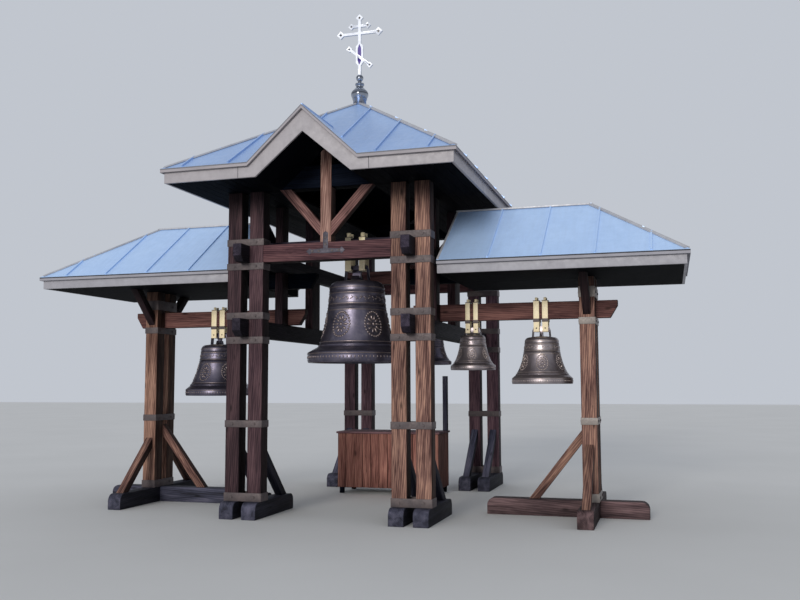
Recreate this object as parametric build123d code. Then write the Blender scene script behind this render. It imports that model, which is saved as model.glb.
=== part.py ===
from build123d import *
import math
import os

# Open timber bell tower with two lower side wings, in millimetres.
# X runs along the wings, Y from front to rear, Z up from the paving.
# The origin is on the ground, in the middle of the tower's plan.

os.makedirs("parts", exist_ok=True)

# Squared timber
POST = 184                     # side of every upright post
POST_GAP = 110                 # space between the two posts of a pillar, and width of the beams in it
BEAM_HEIGHT = 215              # side beams and bell beams
SOLE_HEIGHT = 200              # ground beams under the posts
BRACE_WIDTH = 100              # foot braces, across
BRACE_DEPTH = 100              # foot braces, along their plane

# Tower plan
TOWER_HALF_WIDTH = 1300        # outer faces of the pillars, along X
TOWER_HALF_DEPTH = 2186        # outer faces of the pillars, along Y
WING_SETBACK = 1235            # front faces of the pillars to the axis of the wings

# Tower levels
LOWER_BEAM_Z = 2185            # underside of the lower side beams
UPPER_BEAM_Z = 3095            # underside of the upper side beams and the tie beams
SOFFIT_Z = 3983                # underside of the tower eaves
BEAM_END_REACH = 230           # side beams past the faces of the pillars
BEAM_END_CHAMFER = 70
TOWER_SOLE_FRONT = 145         # ground beams past the outer faces of the pillars
TOWER_SOLE_BACK = 800          # ground beams behind the pillars
SOLE_NOSE = 90                 # rounding of the free ends of the ground beams
TOWER_BRACE_TOP = 880
WING_BRACE_TOP = 880
INNER_BRACE_TOP = 1060
INNER_BRACE_SLOPE = 1.28

# Iron straps round the posts
STRAP_THICKNESS = 8
STRAP_HEIGHT = 84
WAIST_STRAP_Z = 1085
BASE_STRAP_HEIGHT = 100
WING_WAIST_STRAP_Z = 1110
WING_HEAD_STRAP_Z = 2645
WING_HEAD_STRAP_HEIGHT = 130

# Middle posts that stand on the side beams
MIDDLE_STUD_DEPTH = 300

# King posts and their raking struts, front and rear
KING_WIDTH = 140
KING_DEPTH = 150
STRUT_DEPTH = 112
STRUT_THICKNESS = 110
STRUT_ANGLE = 48
STRUT_FOOT_Z = 78              # lower edge of a strut above the tie beam, at the king post
TEE_LENGTH = 500
TEE_HEIGHT = 60
TEE_THICKNESS = 6
TEE_STEM_WIDTH = 64
TEE_STEM_RISE = 110            # stem of the tee strap above the tie beam
TEE_FLARE = 22

# Tower roof
EAVE_HALF_WIDTH = 1766
EAVE_HALF_DEPTH = 2932
FASCIA_HEIGHT = 150
FASCIA_THICKNESS = 30
SOFFIT_THICKNESS = 20
RIDGE_Z = 5408                 # top of the metal
DECK_THICKNESS = 30
METAL_THICKNESS = 15
METAL_OVERHANG = 37
RAFTER_DEPTH = 200
RAFTER_WIDTH = 60
RAFTER_COUNT = 5
RIDGE_BEAM_WIDTH = 80
RIDGE_BEAM_DEPTH = 120
GABLET_HALF_WIDTH = 648        # at the top edge of the fascia
GABLET_INNER_HALF_WIDTH = 582  # at the lower edge of the fascia
GABLET_PEAK_Z = 4732
GABLET_INNER_PEAK_Z = 4476
GABLET_CEILING = 24

# Wings
WING_POST_X = 2986             # centre of the outer posts
WING_INNER_X = 1338            # inner end of the wing roofs
WING_EAVE_X = 4142
WING_RIDGE_END_X = 3035
WING_HALF_DEPTH = 1073
WING_FASCIA_HEIGHT = 134
WING_RIDGE_Z = 3825            # top of the metal
WING_ROOF_BEAM_HEIGHT = 200
WING_BELL_BEAM_OUTER_X = 3340
WING_BELL_BEAM_INNER_X = 758
WING_ROOF_BEAM_INNER_X = 600
WING_ROOF_BEAM_OUTER_X = 3120
WING_GABLE_THICKNESS = 22
WING_SOLE_HALF_LENGTH = 1030   # across the wing, from its axis
WING_SOLE_INNER_X = 1707
WING_SOLE_OUTER_X = 3650
KNEE_WIDTH = 96                # knee braces at the heads of the wing posts
KNEE_DEPTH = 100
KNEE_LOW_Z = 2430              # lower edge, at the face of the post
BELL_BEAM_CHAMFER_X = 90
BELL_BEAM_CHAMFER_Z = 150

# Finial, heights over the ridge
DRUM_RADIUS = 89
DRUM_HEIGHT = 40
DRUM_RIM_RADIUS = 99
DRUM_RIM_HEIGHT = 10
ONION_FOOT_RADIUS = 93
ONION_RADIUS = 118
ONION_HEIGHT = 109             # of the widest place
ONION_BROW_RADIUS = 90
ONION_BROW_HEIGHT = 167        # where the bulge turns in towards the neck
ONION_THROAT_RADIUS = 49
ONION_THROAT_HEIGHT = 211
COLLAR_RADIUS = 61
COLLAR_LOW = 237
COLLAR_HIGH = 261
FINIAL_NECK_RADIUS = 25
BALL_RADIUS = 50
BALL_HEIGHT = 340

# Cross, heights over the middle of the ball
SHAFT_WIDTH = 38
CROSS_THICKNESS = 30
CROSS_BAR_WIDTH = 34
TOP_DIAMOND_HEIGHT = 846
TOP_DIAMOND = 52
CROSS_BAR_HEIGHT = 629
CROSS_BAR_HALF = 271
CROSS_BAR_DIAMOND = 56
UPPER_BAR_HEIGHT = 732
UPPER_BAR_HALF = 118
UPPER_BAR_DIAMOND = 44
FOOT_BAR_HEIGHT = 295
FOOT_BAR_HALF = 147
FOOT_BAR_TILT = 40
FOOT_BAR_DIAMOND = 42
LOZENGE_HALF_WIDTH = 52
LOZENGE_LOW = 155
LOZENGE_HIGH = 507
LOZENGE_POINT = 60
INLAY_MARGIN = 27
INLAY_DEPTH = 5
STONE_PART = 0.36              # dark middle of a diamond, as a part of its size

# Ringer's stand
STAND_X0 = -840
STAND_X1 = 700
STAND_Y0 = 480
STAND_DEPTH = 620
STAND_HEIGHT = 905
STAND_FOOT = 90
STAND_PLANK = 118
STAND_PLANK_GAP = 6
STAND_PLANK_THICKNESS = 22
STAND_TOP_THICKNESS = 28
STAND_TOP_OVERHANG = 20
STAND_FRAME = 60
STAND_RAIL = 50
STAND_MAST_TOP = 1720
STAND_MAST = 70

# Bells: place of the axis, lip radius, height up to the crown and height of the lip over the paving
BIG_BELL_X = 195
BIG_BELL_RADIUS = 615
BIG_BELL_HEIGHT = 1027
BIG_BELL_LIP_Z = 1868
REAR_BELL_X = 350
REAR_BELL_RADIUS = 280
REAR_BELL_HEIGHT = 420
REAR_BELL_LIP_Z = 1905
SMALL_BELL_X = 1530
SMALL_BELL_RADIUS = 285
SMALL_BELL_HEIGHT = 448
SMALL_BELL_LIP_Z = 1777
MEDIUM_BELL_X = 2405
MEDIUM_BELL_RADIUS = 375
MEDIUM_BELL_HEIGHT = 588
MEDIUM_BELL_LIP_Z = 1598
LEFT_BELL_X = -2054
LEFT_BELL_RADIUS = 452
LEFT_BELL_HEIGHT = 706
LEFT_BELL_LIP_Z = 1454

# Section of the bells: radii as parts of the lip radius, levels as parts of the height
BIG_BELL_FLARE = 0.45
SMALL_BELL_FLARE = 0.62
SHOULDER = 0.56
SHOULDER_LEVEL = 0.88
WAIST_FALL = 0.36              # how fast the flare dies out upwards
WAIST_LEVEL = 0.19             # where the waist begins over the sound bow
BOW_LEVEL = 0.12               # height of the upright band of the sound bow
BOW_INSET = 0.012              # inside of the sound bow, in from the foot of the waist
BELL_WALL = 0.065
CROWN_LEVEL = 0.93             # inside of the top
BOW_MOULDING_LEVEL = 0.205
BOW_MOULDING = 0.026
LOW_LINE_LEVEL = 0.66
HIGH_LINE_LEVEL = 0.86
LINE_MOULDING = 0.012
CLAPPER_LEVEL = 0.13
CLAPPER_BALL = 0.13

# Beams that carry the big bell and the rear bell
TOWER_BELL_Y = 1600            # axis of these bells, from the middle of the tower
TOWER_BELL_BEAM_WIDTH = 150
TOWER_BELL_BEAM_Z = 3205       # underside, let into the upper side beams

# Bell hangers: two straps over each bell
HANGER_THICKNESS = 9
HANGER_BOTTOM = 16
HANGER_TOP = 14
SMALL_HANGER_WIDTH = 57
SMALL_HANGER_SPACING = 103     # between the centres of the two straps
MEDIUM_HANGER_WIDTH = 70
MEDIUM_HANGER_SPACING = 108
LEFT_HANGER_WIDTH = 76
LEFT_HANGER_SPACING = 124
HANGER_NUT_RADIUS = 17
HANGER_NUT_HEIGHT = 44
BIG_HANGER_WIDTH = 78
BIG_HANGER_SPACING = 184
BIG_NUT_RADIUS = 27
BIG_NUT_HEIGHT = 61
BIG_HANGER_Z = 3014            # underside of the straps
REAR_HANGER_Z = 2380
WING_HANGER_Z = 2244

# Ears on top of the bells
CROWN_BAR_DEPTH = 50
CROWN_BAR_HEIGHT = 54
CROWN_LEG = 20
CROWN_CLEARANCE = 2            # between the ears and the straps
CROWN_SPREAD = 0.10            # how far the legs of the ears lean out, for their height
CROSS_EAR = 0.74               # reach of the ears at right angles, as a part of the others'
EAR_EYE = 0.24                 # radius of their openings, as a part of the ears' height

# Sizes that follow
PILLAR_WIDTH = 2 * POST + POST_GAP
POST_INNER_X = TOWER_HALF_WIDTH - PILLAR_WIDTH
GAP_X0 = TOWER_HALF_WIDTH - POST - POST_GAP
GAP_X1 = TOWER_HALF_WIDTH - POST
WING_Y = WING_SETBACK - TOWER_HALF_DEPTH
LOWER_BEAM_TOP = LOWER_BEAM_Z + BEAM_HEIGHT
UPPER_BEAM_TOP = UPPER_BEAM_Z + BEAM_HEIGHT
WING_SOFFIT_Z = UPPER_BEAM_Z - WING_ROOF_BEAM_HEIGHT
ROOF_COVER = DECK_THICKNESS + METAL_THICKNESS
FASCIA_TOP = SOFFIT_Z + FASCIA_HEIGHT
WING_FASCIA_TOP = WING_SOFFIT_Z + WING_FASCIA_HEIGHT
ROOF_RISE = RIDGE_Z - ROOF_COVER - FASCIA_TOP
SIDE_SLOPE = ROOF_RISE / EAVE_HALF_WIDTH
RIDGE_HALF = -WING_Y
FRONT_SLOPE = ROOF_RISE / (EAVE_HALF_DEPTH - RIDGE_HALF)
PLATE_TOP = FASCIA_TOP + (EAVE_HALF_WIDTH - TOWER_HALF_WIDTH) * SIDE_SLOPE - RAFTER_DEPTH
GABLET_SLOPE = (GABLET_PEAK_Z - FASCIA_TOP) / GABLET_HALF_WIDTH
WING_ROOF_RISE = WING_RIDGE_Z - ROOF_COVER - WING_FASCIA_TOP
TOWER_BELL_BEAM_TOP = TOWER_BELL_BEAM_Z + BEAM_HEIGHT
BALL_Z = RIDGE_Z + BALL_HEIGHT


def block(x0, x1, y0, y1, z0, z1):
    # A squared piece between two corners.
    size = Box(abs(x1 - x0), abs(y1 - y0), abs(z1 - z0))
    return Pos((x0 + x1) / 2, (y0 + y1) / 2, (z0 + z1) / 2) * size


def prism_y(points, y0, y1):
    # An outline in X and Z, drawn out along Y.
    outline = make_face(Polyline(*[(x, y0, z) for x, z in points], close=True))
    return extrude(outline, amount=y1 - y0, dir=(0, 1, 0))


def prism_x(points, x0, x1):
    # An outline in Y and Z, drawn out along X.
    outline = make_face(Polyline(*[(x0, y, z) for y, z in points], close=True))
    return extrude(outline, amount=x1 - x0, dir=(1, 0, 0))


def mirror_x(piece):
    return mirror(piece, about=Plane.YZ)


def mirror_y(piece):
    return mirror(piece, about=Plane.XZ)


def four_corners(piece):
    # The piece in the front right corner and its three mirror images.
    right = [piece, mirror_y(piece)]
    return right + [mirror_x(one) for one in right]


def save(name, pieces):
    solids = []
    for piece in pieces:
        solids.extend(piece.solids())
    export_step(Compound(solids), f"parts/{name}.step")


# Tower pillars, two posts side by side in each

def pillar(side_x, side_y):
    posts = []
    for x0 in (POST_INNER_X, GAP_X1):
        y1 = side_y * TOWER_HALF_DEPTH
        y0 = side_y * (TOWER_HALF_DEPTH - POST)
        posts.append(block(side_x * x0, side_x * (x0 + POST), y0, y1, SOLE_HEIGHT, SOFFIT_Z))
    return posts


save("front_left_pillar", pillar(-1, -1))
save("front_right_pillar", pillar(1, -1))
save("rear_left_pillar", pillar(-1, 1))
save("rear_right_pillar", pillar(1, 1))


# Ground beams and foot braces of the tower

def sole_profile(u0, u1, nose_at_start, nose_at_end):
    # Side outline of a ground beam with rounded upper corners at its free ends.
    profile = Rectangle(u1 - u0, SOLE_HEIGHT)
    profile = Pos((u0 + u1) / 2, SOLE_HEIGHT / 2) * profile
    corners = []
    for corner in profile.vertices():
        if corner.Y < SOLE_HEIGHT / 2:
            continue
        at_start = corner.X < (u0 + u1) / 2
        if at_start and nose_at_start or not at_start and nose_at_end:
            corners.append(corner)
    return fillet(corners, SOLE_NOSE)


def sole_along_y(x_centre, y0, y1):
    plane = Plane(origin=(x_centre - POST / 2, 0, 0), x_dir=(0, 1, 0), z_dir=(1, 0, 0))
    return extrude(plane * sole_profile(y0, y1, True, True), amount=POST)


def sole_along_x(y_centre, x0, x1, free_at_start):
    # One end butts against the sole that it meets, so only the free end is rounded.
    plane = Plane(origin=(0, y_centre + POST / 2, 0), x_dir=(1, 0, 0), z_dir=(0, -1, 0))
    return extrude(plane * sole_profile(x0, x1, free_at_start, not free_at_start), amount=POST)


def brace_outline(top, slope, depth, base):
    # A raking brace from a post face at zero out to the top of a ground beam.
    drop = depth * math.sqrt(1 + slope * slope)
    return [(0, top), ((top - base) / slope, base), ((top - drop - base) / slope, base), (0, top - drop)]


tower_soles = []
tower_braces = []
for post_x in (POST_INNER_X + POST / 2, TOWER_HALF_WIDTH - POST / 2):
    front_end = -TOWER_HALF_DEPTH - TOWER_SOLE_FRONT
    back_end = -TOWER_HALF_DEPTH + POST + TOWER_SOLE_BACK
    tower_soles += four_corners(sole_along_y(post_x, front_end, back_end))
    outline = brace_outline(TOWER_BRACE_TOP, 1, BRACE_DEPTH, SOLE_HEIGHT)
    outline = [(-TOWER_HALF_DEPTH + POST + u, z) for u, z in outline]
    brace = prism_x(outline, post_x - BRACE_WIDTH / 2, post_x + BRACE_WIDTH / 2)
    tower_braces += four_corners(brace)
save("tower_sole_beams", tower_soles)
save("tower_foot_braces", tower_braces)


# Beams that carry the big bell and the rear bell, let into the upper side beams

bell_beam = block(
    -GAP_X1,
    GAP_X1,
    -TOWER_BELL_Y - TOWER_BELL_BEAM_WIDTH / 2,
    -TOWER_BELL_Y + TOWER_BELL_BEAM_WIDTH / 2,
    TOWER_BELL_BEAM_Z,
    TOWER_BELL_BEAM_TOP,
)
save("big_bell_beam", [bell_beam])
save("rear_bell_beam", [mirror_y(bell_beam)])


# Side beams, from front to rear through the gaps of the pillars

def side_beam(z0):
    end = TOWER_HALF_DEPTH + BEAM_END_REACH
    cut = BEAM_END_CHAMFER
    outline = [
        (-end, z0 + cut),
        (-end + cut, z0),
        (end - cut, z0),
        (end, z0 + cut),
        (end, z0 + BEAM_HEIGHT),
        (-end, z0 + BEAM_HEIGHT),
    ]
    beam = prism_x(outline, GAP_X0, GAP_X1)
    return [beam, mirror_x(beam)]


save("lower_side_beams", side_beam(LOWER_BEAM_Z))
upper_side_beams = [beam - bell_beam - mirror_y(bell_beam) for beam in side_beam(UPPER_BEAM_Z)]
save("upper_side_beams", upper_side_beams)


# Iron straps round the posts

def strap_ring(x0, x1, y0, y1, z0, height):
    skin = STRAP_THICKNESS
    outer = block(x0 - skin, x1 + skin, y0 - skin, y1 + skin, z0, z0 + height)
    return outer - block(x0, x1, y0, y1, z0, z0 + height)


strap_levels = [
    (SOLE_HEIGHT, BASE_STRAP_HEIGHT),
    (WAIST_STRAP_Z, STRAP_HEIGHT),
    (LOWER_BEAM_Z - STRAP_HEIGHT, STRAP_HEIGHT),
    (LOWER_BEAM_TOP, STRAP_HEIGHT),
    (UPPER_BEAM_Z - STRAP_HEIGHT, STRAP_HEIGHT),
    (UPPER_BEAM_TOP, STRAP_HEIGHT),
]
front_straps = []
rear_straps = []
for level, height in strap_levels:
    ring = strap_ring(
        POST_INNER_X, TOWER_HALF_WIDTH, -TOWER_HALF_DEPTH, -TOWER_HALF_DEPTH + POST, level, height
    )
    front_straps += [ring, mirror_x(ring)]
    rear_straps += [mirror_y(ring), mirror_x(mirror_y(ring))]
save("front_pillar_straps", front_straps)
save("rear_pillar_straps", rear_straps)


# Posts that stand on the side beams: one at the wing axis, one at mid depth

def studs(y0, y1):
    pieces = []
    for z0, z1 in ((LOWER_BEAM_TOP, UPPER_BEAM_Z), (UPPER_BEAM_TOP, SOFFIT_Z)):
        stud = block(GAP_X0, GAP_X1, y0, y1, z0, z1)
        pieces += [stud, mirror_x(stud)]
    return pieces


wing_studs = studs(WING_Y - POST_GAP / 2 - POST, WING_Y - POST_GAP / 2)
middle_studs = studs(-MIDDLE_STUD_DEPTH / 2, MIDDLE_STUD_DEPTH / 2)
save("side_frame_studs", wing_studs + middle_studs)


# Tie beams between the inner posts of the pillars, front and rear

tie_beam = block(
    -POST_INNER_X,
    POST_INNER_X,
    -TOWER_HALF_DEPTH,
    -TOWER_HALF_DEPTH + POST,
    UPPER_BEAM_Z,
    UPPER_BEAM_TOP,
)
save("tie_beams", [tie_beam, mirror_y(tie_beam)])


# King posts, raking struts and tee straps over the tie beams

king_top = GABLET_PEAK_Z - GABLET_SLOPE * RIDGE_BEAM_WIDTH / 2 - RIDGE_BEAM_DEPTH
king_post = block(
    -KING_WIDTH / 2,
    KING_WIDTH / 2,
    -TOWER_HALF_DEPTH,
    -TOWER_HALF_DEPTH + KING_DEPTH,
    UPPER_BEAM_TOP,
    king_top,
)
save("king_posts", [king_post, mirror_y(king_post)])

strut_slope = math.tan(math.radians(STRUT_ANGLE))
strut_drop = STRUT_DEPTH / math.cos(math.radians(STRUT_ANGLE))
foot_low = UPPER_BEAM_TOP + STRUT_FOOT_Z
foot_high = foot_low + strut_drop
strut_outline = [
    (KING_WIDTH / 2, foot_low),
    (KING_WIDTH / 2 + (SOFFIT_Z - foot_low) / strut_slope, SOFFIT_Z),
    (KING_WIDTH / 2 + (SOFFIT_Z - foot_high) / strut_slope, SOFFIT_Z),
    (KING_WIDTH / 2, foot_high),
]
strut = prism_y(strut_outline, -TOWER_HALF_DEPTH, -TOWER_HALF_DEPTH + STRUT_THICKNESS)
save("raking_struts", four_corners(strut))


def tee_strap():
    middle = UPPER_BEAM_Z + BEAM_HEIGHT / 2
    half = TEE_LENGTH / 2
    waist = TEE_HEIGHT / 2
    flare = waist + TEE_FLARE / 2
    stem = TEE_STEM_WIDTH / 2
    top = UPPER_BEAM_TOP + TEE_STEM_RISE
    right = [
        (stem, middle + waist),
        (half - 3 * TEE_FLARE, middle + waist * 0.7),
        (half - 2 * TEE_FLARE, middle + flare),
        (half, middle),
        (half - 2 * TEE_FLARE, middle - flare),
        (half - 3 * TEE_FLARE, middle - waist * 0.7),
        (stem, middle - waist),
    ]
    left = [(-x, z) for x, z in reversed(right)]
    head = [(-stem, top), (0, top + TEE_FLARE), (stem, top)]
    face = -TOWER_HALF_DEPTH
    return prism_y(head + right + left, face - TEE_THICKNESS, face)


save("tee_straps", [tee_strap(), mirror_y(tee_strap())])


# Wall plates on the pillars

front_plate = block(
    KING_WIDTH / 2, TOWER_HALF_WIDTH, -TOWER_HALF_DEPTH, -TOWER_HALF_DEPTH + POST, SOFFIT_Z, PLATE_TOP
)
side_plate = block(
    GAP_X1, TOWER_HALF_WIDTH, -TOWER_HALF_DEPTH + POST, TOWER_HALF_DEPTH - POST, SOFFIT_Z, PLATE_TOP
)
save("front_and_rear_plates", four_corners(front_plate))
save("side_plates", [side_plate, mirror_x(side_plate)])


# Tower roof: a hipped body with a gablet at each end, in layers

def tower_roof_body(lift):
    # Everything under the roof surface that lies lift above the underside of the deck.
    base = SOFFIT_Z
    over = METAL_OVERHANG
    half_x = EAVE_HALF_WIDTH + over
    half_y = EAVE_HALF_DEPTH + over
    low_x = FASCIA_TOP - over * SIDE_SLOPE + lift
    low_y = FASCIA_TOP - over * FRONT_SLOPE + lift
    ridge = FASCIA_TOP + ROOF_RISE + lift
    across = [(-half_x, base), (half_x, base), (half_x, low_x), (0, ridge), (-half_x, low_x)]
    along = [
        (-half_y, base),
        (half_y, base),
        (half_y, low_y),
        (RIDGE_HALF, ridge),
        (-RIDGE_HALF, ridge),
        (-half_y, low_y),
    ]
    body = prism_y(across, -half_y, half_y) & prism_x(along, -half_x, half_x)
    drop = (GABLET_PEAK_Z - base) + lift
    gablet = [(-drop / GABLET_SLOPE, base), (drop / GABLET_SLOPE, base), (0, base + drop)]
    end = prism_y(gablet, -half_y, -RIDGE_HALF)
    end &= block(-half_x, half_x, -half_y, -RIDGE_HALF, base, ridge)
    return body + end + mirror_y(end)


underside = tower_roof_body(0)
deck_top = tower_roof_body(DECK_THICKNESS)
save("tower_roof_deck", [deck_top - underside])
save("tower_roof_metal", [tower_roof_body(ROOF_COVER) - deck_top])

rafter_zone = underside - Pos(0, 0, -RAFTER_DEPTH) * underside
rafter_zone &= block(
    -EAVE_HALF_WIDTH + FASCIA_THICKNESS,
    EAVE_HALF_WIDTH - FASCIA_THICKNESS,
    -EAVE_HALF_DEPTH + FASCIA_THICKNESS,
    EAVE_HALF_DEPTH - FASCIA_THICKNESS,
    SOFFIT_Z + SOFFIT_THICKNESS,
    RIDGE_Z,
)
rafters = []
for index in range(RAFTER_COUNT):
    y = -RIDGE_HALF + 2 * RIDGE_HALF * index / (RAFTER_COUNT - 1)
    slab = block(
        -EAVE_HALF_WIDTH,
        EAVE_HALF_WIDTH,
        y - RAFTER_WIDTH / 2,
        y + RAFTER_WIDTH / 2,
        SOFFIT_Z,
        RIDGE_Z,
    )
    rafters.append(rafter_zone & slab)
save("tower_rafters", rafters)

gablet_ridge = block(
    -RIDGE_BEAM_WIDTH / 2,
    RIDGE_BEAM_WIDTH / 2,
    -EAVE_HALF_DEPTH + FASCIA_THICKNESS,
    -EAVE_HALF_DEPTH + (GABLET_PEAK_Z - RIDGE_BEAM_DEPTH - FASCIA_TOP) / FRONT_SLOPE,
    king_top,
    king_top + RIDGE_BEAM_DEPTH,
)
save("gablet_ridge_beams", [gablet_ridge, mirror_y(gablet_ridge)])

fascia_outline = [
    (-EAVE_HALF_WIDTH, SOFFIT_Z),
    (-GABLET_INNER_HALF_WIDTH, SOFFIT_Z),
    (0, GABLET_INNER_PEAK_Z),
    (GABLET_INNER_HALF_WIDTH, SOFFIT_Z),
    (EAVE_HALF_WIDTH, SOFFIT_Z),
    (EAVE_HALF_WIDTH, FASCIA_TOP),
    (GABLET_HALF_WIDTH, FASCIA_TOP),
    (0, GABLET_PEAK_Z),
    (-GABLET_HALF_WIDTH, FASCIA_TOP),
    (-EAVE_HALF_WIDTH, FASCIA_TOP),
]
front_fascia = prism_y(fascia_outline, -EAVE_HALF_DEPTH, -EAVE_HALF_DEPTH + FASCIA_THICKNESS)
side_fascia = block(
    EAVE_HALF_WIDTH - FASCIA_THICKNESS,
    EAVE_HALF_WIDTH,
    -EAVE_HALF_DEPTH + FASCIA_THICKNESS,
    EAVE_HALF_DEPTH - FASCIA_THICKNESS,
    SOFFIT_Z,
    FASCIA_TOP,
)
save("front_and_rear_fascias", [front_fascia, mirror_y(front_fascia)])
save("side_fascias", [side_fascia, mirror_x(side_fascia)])

soffit_x = EAVE_HALF_WIDTH - FASCIA_THICKNESS
soffit_y = EAVE_HALF_DEPTH - FASCIA_THICKNESS
soffit_top = SOFFIT_Z + SOFFIT_THICKNESS
side_soffit = block(TOWER_HALF_WIDTH, soffit_x, -soffit_y, soffit_y, SOFFIT_Z, soffit_top)
end_soffit = block(
    GABLET_INNER_HALF_WIDTH, TOWER_HALF_WIDTH, -soffit_y, -TOWER_HALF_DEPTH, SOFFIT_Z, soffit_top
)
save("tower_soffit", [side_soffit, mirror_x(side_soffit)] + four_corners(end_soffit))

ceiling_outline = [
    (-GABLET_INNER_HALF_WIDTH, SOFFIT_Z),
    (0, GABLET_INNER_PEAK_Z),
    (GABLET_INNER_HALF_WIDTH, SOFFIT_Z),
    (GABLET_INNER_HALF_WIDTH, SOFFIT_Z + GABLET_CEILING),
    (0, GABLET_INNER_PEAK_Z + GABLET_CEILING),
    (-GABLET_INNER_HALF_WIDTH, SOFFIT_Z + GABLET_CEILING),
]
ceiling = prism_y(ceiling_outline, -soffit_y, -TOWER_HALF_DEPTH)
save("gablet_ceilings", [ceiling, mirror_y(ceiling)])


# Wing posts, their knee braces and their straps

wing_post_x0 = WING_POST_X - POST / 2
wing_post_x1 = WING_POST_X + POST / 2
near_face = WING_Y - POST_GAP / 2
far_face = WING_Y + POST_GAP / 2
front_face = near_face - POST
rear_face = far_face + POST

wing_posts = []
for y0, y1 in ((front_face, near_face), (far_face, rear_face)):
    post = block(wing_post_x0, wing_post_x1, y0, y1, SOLE_HEIGHT, UPPER_BEAM_Z)
    wing_posts += [post, mirror_x(post)]
save("wing_posts", wing_posts)

# A knee brace rakes from the outer face of each post up to the eaves, at 45 degrees.
knee_reach = WING_SOFFIT_Z - KNEE_LOW_Z
knee_drop = KNEE_DEPTH * math.sqrt(2)
knee_rake = [
    (0, KNEE_LOW_Z),
    (knee_reach, WING_SOFFIT_Z),
    (knee_reach - knee_drop, WING_SOFFIT_Z),
    (0, KNEE_LOW_Z + knee_drop),
]
knee_x0 = WING_POST_X - KNEE_WIDTH / 2
knee_x1 = WING_POST_X + KNEE_WIDTH / 2
knees = [
    prism_x([(front_face - u, z) for u, z in knee_rake], knee_x0, knee_x1),
    prism_x([(rear_face + u, z) for u, z in knee_rake], knee_x0, knee_x1),
]
save("wing_knee_braces", knees + [mirror_x(one) for one in knees])

wing_straps = []
for level, height in (
    (SOLE_HEIGHT, BASE_STRAP_HEIGHT),
    (WING_WAIST_STRAP_Z, STRAP_HEIGHT),
    (LOWER_BEAM_TOP - STRAP_HEIGHT, STRAP_HEIGHT),
    (WING_HEAD_STRAP_Z, WING_HEAD_STRAP_HEIGHT),
):
    ring = strap_ring(wing_post_x0, wing_post_x1, front_face, rear_face, level, height)
    wing_straps += [ring, mirror_x(ring)]
save("wing_post_straps", wing_straps)


# Ground beams and braces of the wings

wing_cross_sole = sole_along_y(
    WING_POST_X, WING_Y - WING_SOLE_HALF_LENGTH, WING_Y + WING_SOLE_HALF_LENGTH
)
wing_inner_sole = sole_along_x(WING_Y, WING_SOLE_INNER_X, wing_post_x0, True)
wing_outer_sole = sole_along_x(WING_Y, wing_post_x1, WING_SOLE_OUTER_X, False)
wing_soles = [wing_cross_sole, wing_inner_sole, wing_outer_sole]
save("wing_sole_beams", wing_soles + [mirror_x(one) for one in wing_soles])

wing_braces = []
rake = brace_outline(WING_BRACE_TOP, 1, BRACE_DEPTH, SOLE_HEIGHT)
brace_x0 = WING_POST_X - BRACE_WIDTH / 2
brace_x1 = WING_POST_X + BRACE_WIDTH / 2
wing_braces.append(prism_x([(front_face - u, z) for u, z in rake], brace_x0, brace_x1))
wing_braces.append(prism_x([(rear_face + u, z) for u, z in rake], brace_x0, brace_x1))
inner_rake = brace_outline(INNER_BRACE_TOP, INNER_BRACE_SLOPE, BRACE_DEPTH, SOLE_HEIGHT)
inner_brace = prism_y(
    [(wing_post_x0 - u, z) for u, z in inner_rake], WING_Y - BRACE_WIDTH / 2, WING_Y + BRACE_WIDTH / 2
)
wing_braces.append(inner_brace)
save("wing_foot_braces", wing_braces + [mirror_x(one) for one in wing_braces])


# Beams of the wings

def wing_beam(x_inner, x_outer, z0, height, chamfer_outer):
    cut_x = BELL_BEAM_CHAMFER_X
    cut_z = BELL_BEAM_CHAMFER_Z
    outline = [
        (x_inner, z0 + height),
        (x_inner, z0 + cut_z),
        (x_inner + cut_x, z0),
    ]
    if chamfer_outer:
        outline += [(x_outer - cut_x, z0), (x_outer, z0 + cut_z), (x_outer, z0 + height)]
    else:
        outline += [(x_outer, z0), (x_outer, z0 + height)]
    beam = prism_y(outline, near_face, far_face)
    return [beam, mirror_x(beam)]


save(
    "wing_bell_beams",
    wing_beam(WING_BELL_BEAM_INNER_X, WING_BELL_BEAM_OUTER_X, LOWER_BEAM_TOP, BEAM_HEIGHT, True),
)
save(
    "wing_roof_beams",
    wing_beam(WING_ROOF_BEAM_INNER_X, WING_ROOF_BEAM_OUTER_X, WING_SOFFIT_Z, WING_ROOF_BEAM_HEIGHT, False),
)


# Wing roofs: ridge along the wing, hipped outside, cut plain against the tower

def wing_roof_body(lift):
    base = WING_SOFFIT_Z
    over = METAL_OVERHANG
    half_y = WING_HALF_DEPTH + over
    slope_y = WING_ROOF_RISE / WING_HALF_DEPTH
    slope_x = WING_ROOF_RISE / (WING_EAVE_X - WING_RIDGE_END_X)
    low_y = WING_FASCIA_TOP - over * slope_y + lift
    low_x = WING_FASCIA_TOP - over * slope_x + lift
    ridge = WING_FASCIA_TOP + WING_ROOF_RISE + lift
    end_x = WING_EAVE_X + over
    across = [
        (WING_Y - half_y, base),
        (WING_Y + half_y, base),
        (WING_Y + half_y, low_y),
        (WING_Y, ridge),
        (WING_Y - half_y, low_y),
    ]
    along = [
        (WING_INNER_X, base),
        (end_x, base),
        (end_x, low_x),
        (WING_RIDGE_END_X, ridge),
        (WING_INNER_X, ridge),
    ]
    return prism_x(across, WING_INNER_X, end_x) & prism_y(along, WING_Y - half_y, WING_Y + half_y)


wing_underside = wing_roof_body(0)
wing_deck_top = wing_roof_body(DECK_THICKNESS)
wing_deck = wing_deck_top - wing_underside
wing_metal = wing_roof_body(ROOF_COVER) - wing_deck_top
save("wing_roof_decks", [wing_deck, mirror_x(wing_deck)])
save("right_wing_roof_metal", [wing_metal])
save("left_wing_roof_metal", [mirror_x(wing_metal)])

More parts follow.
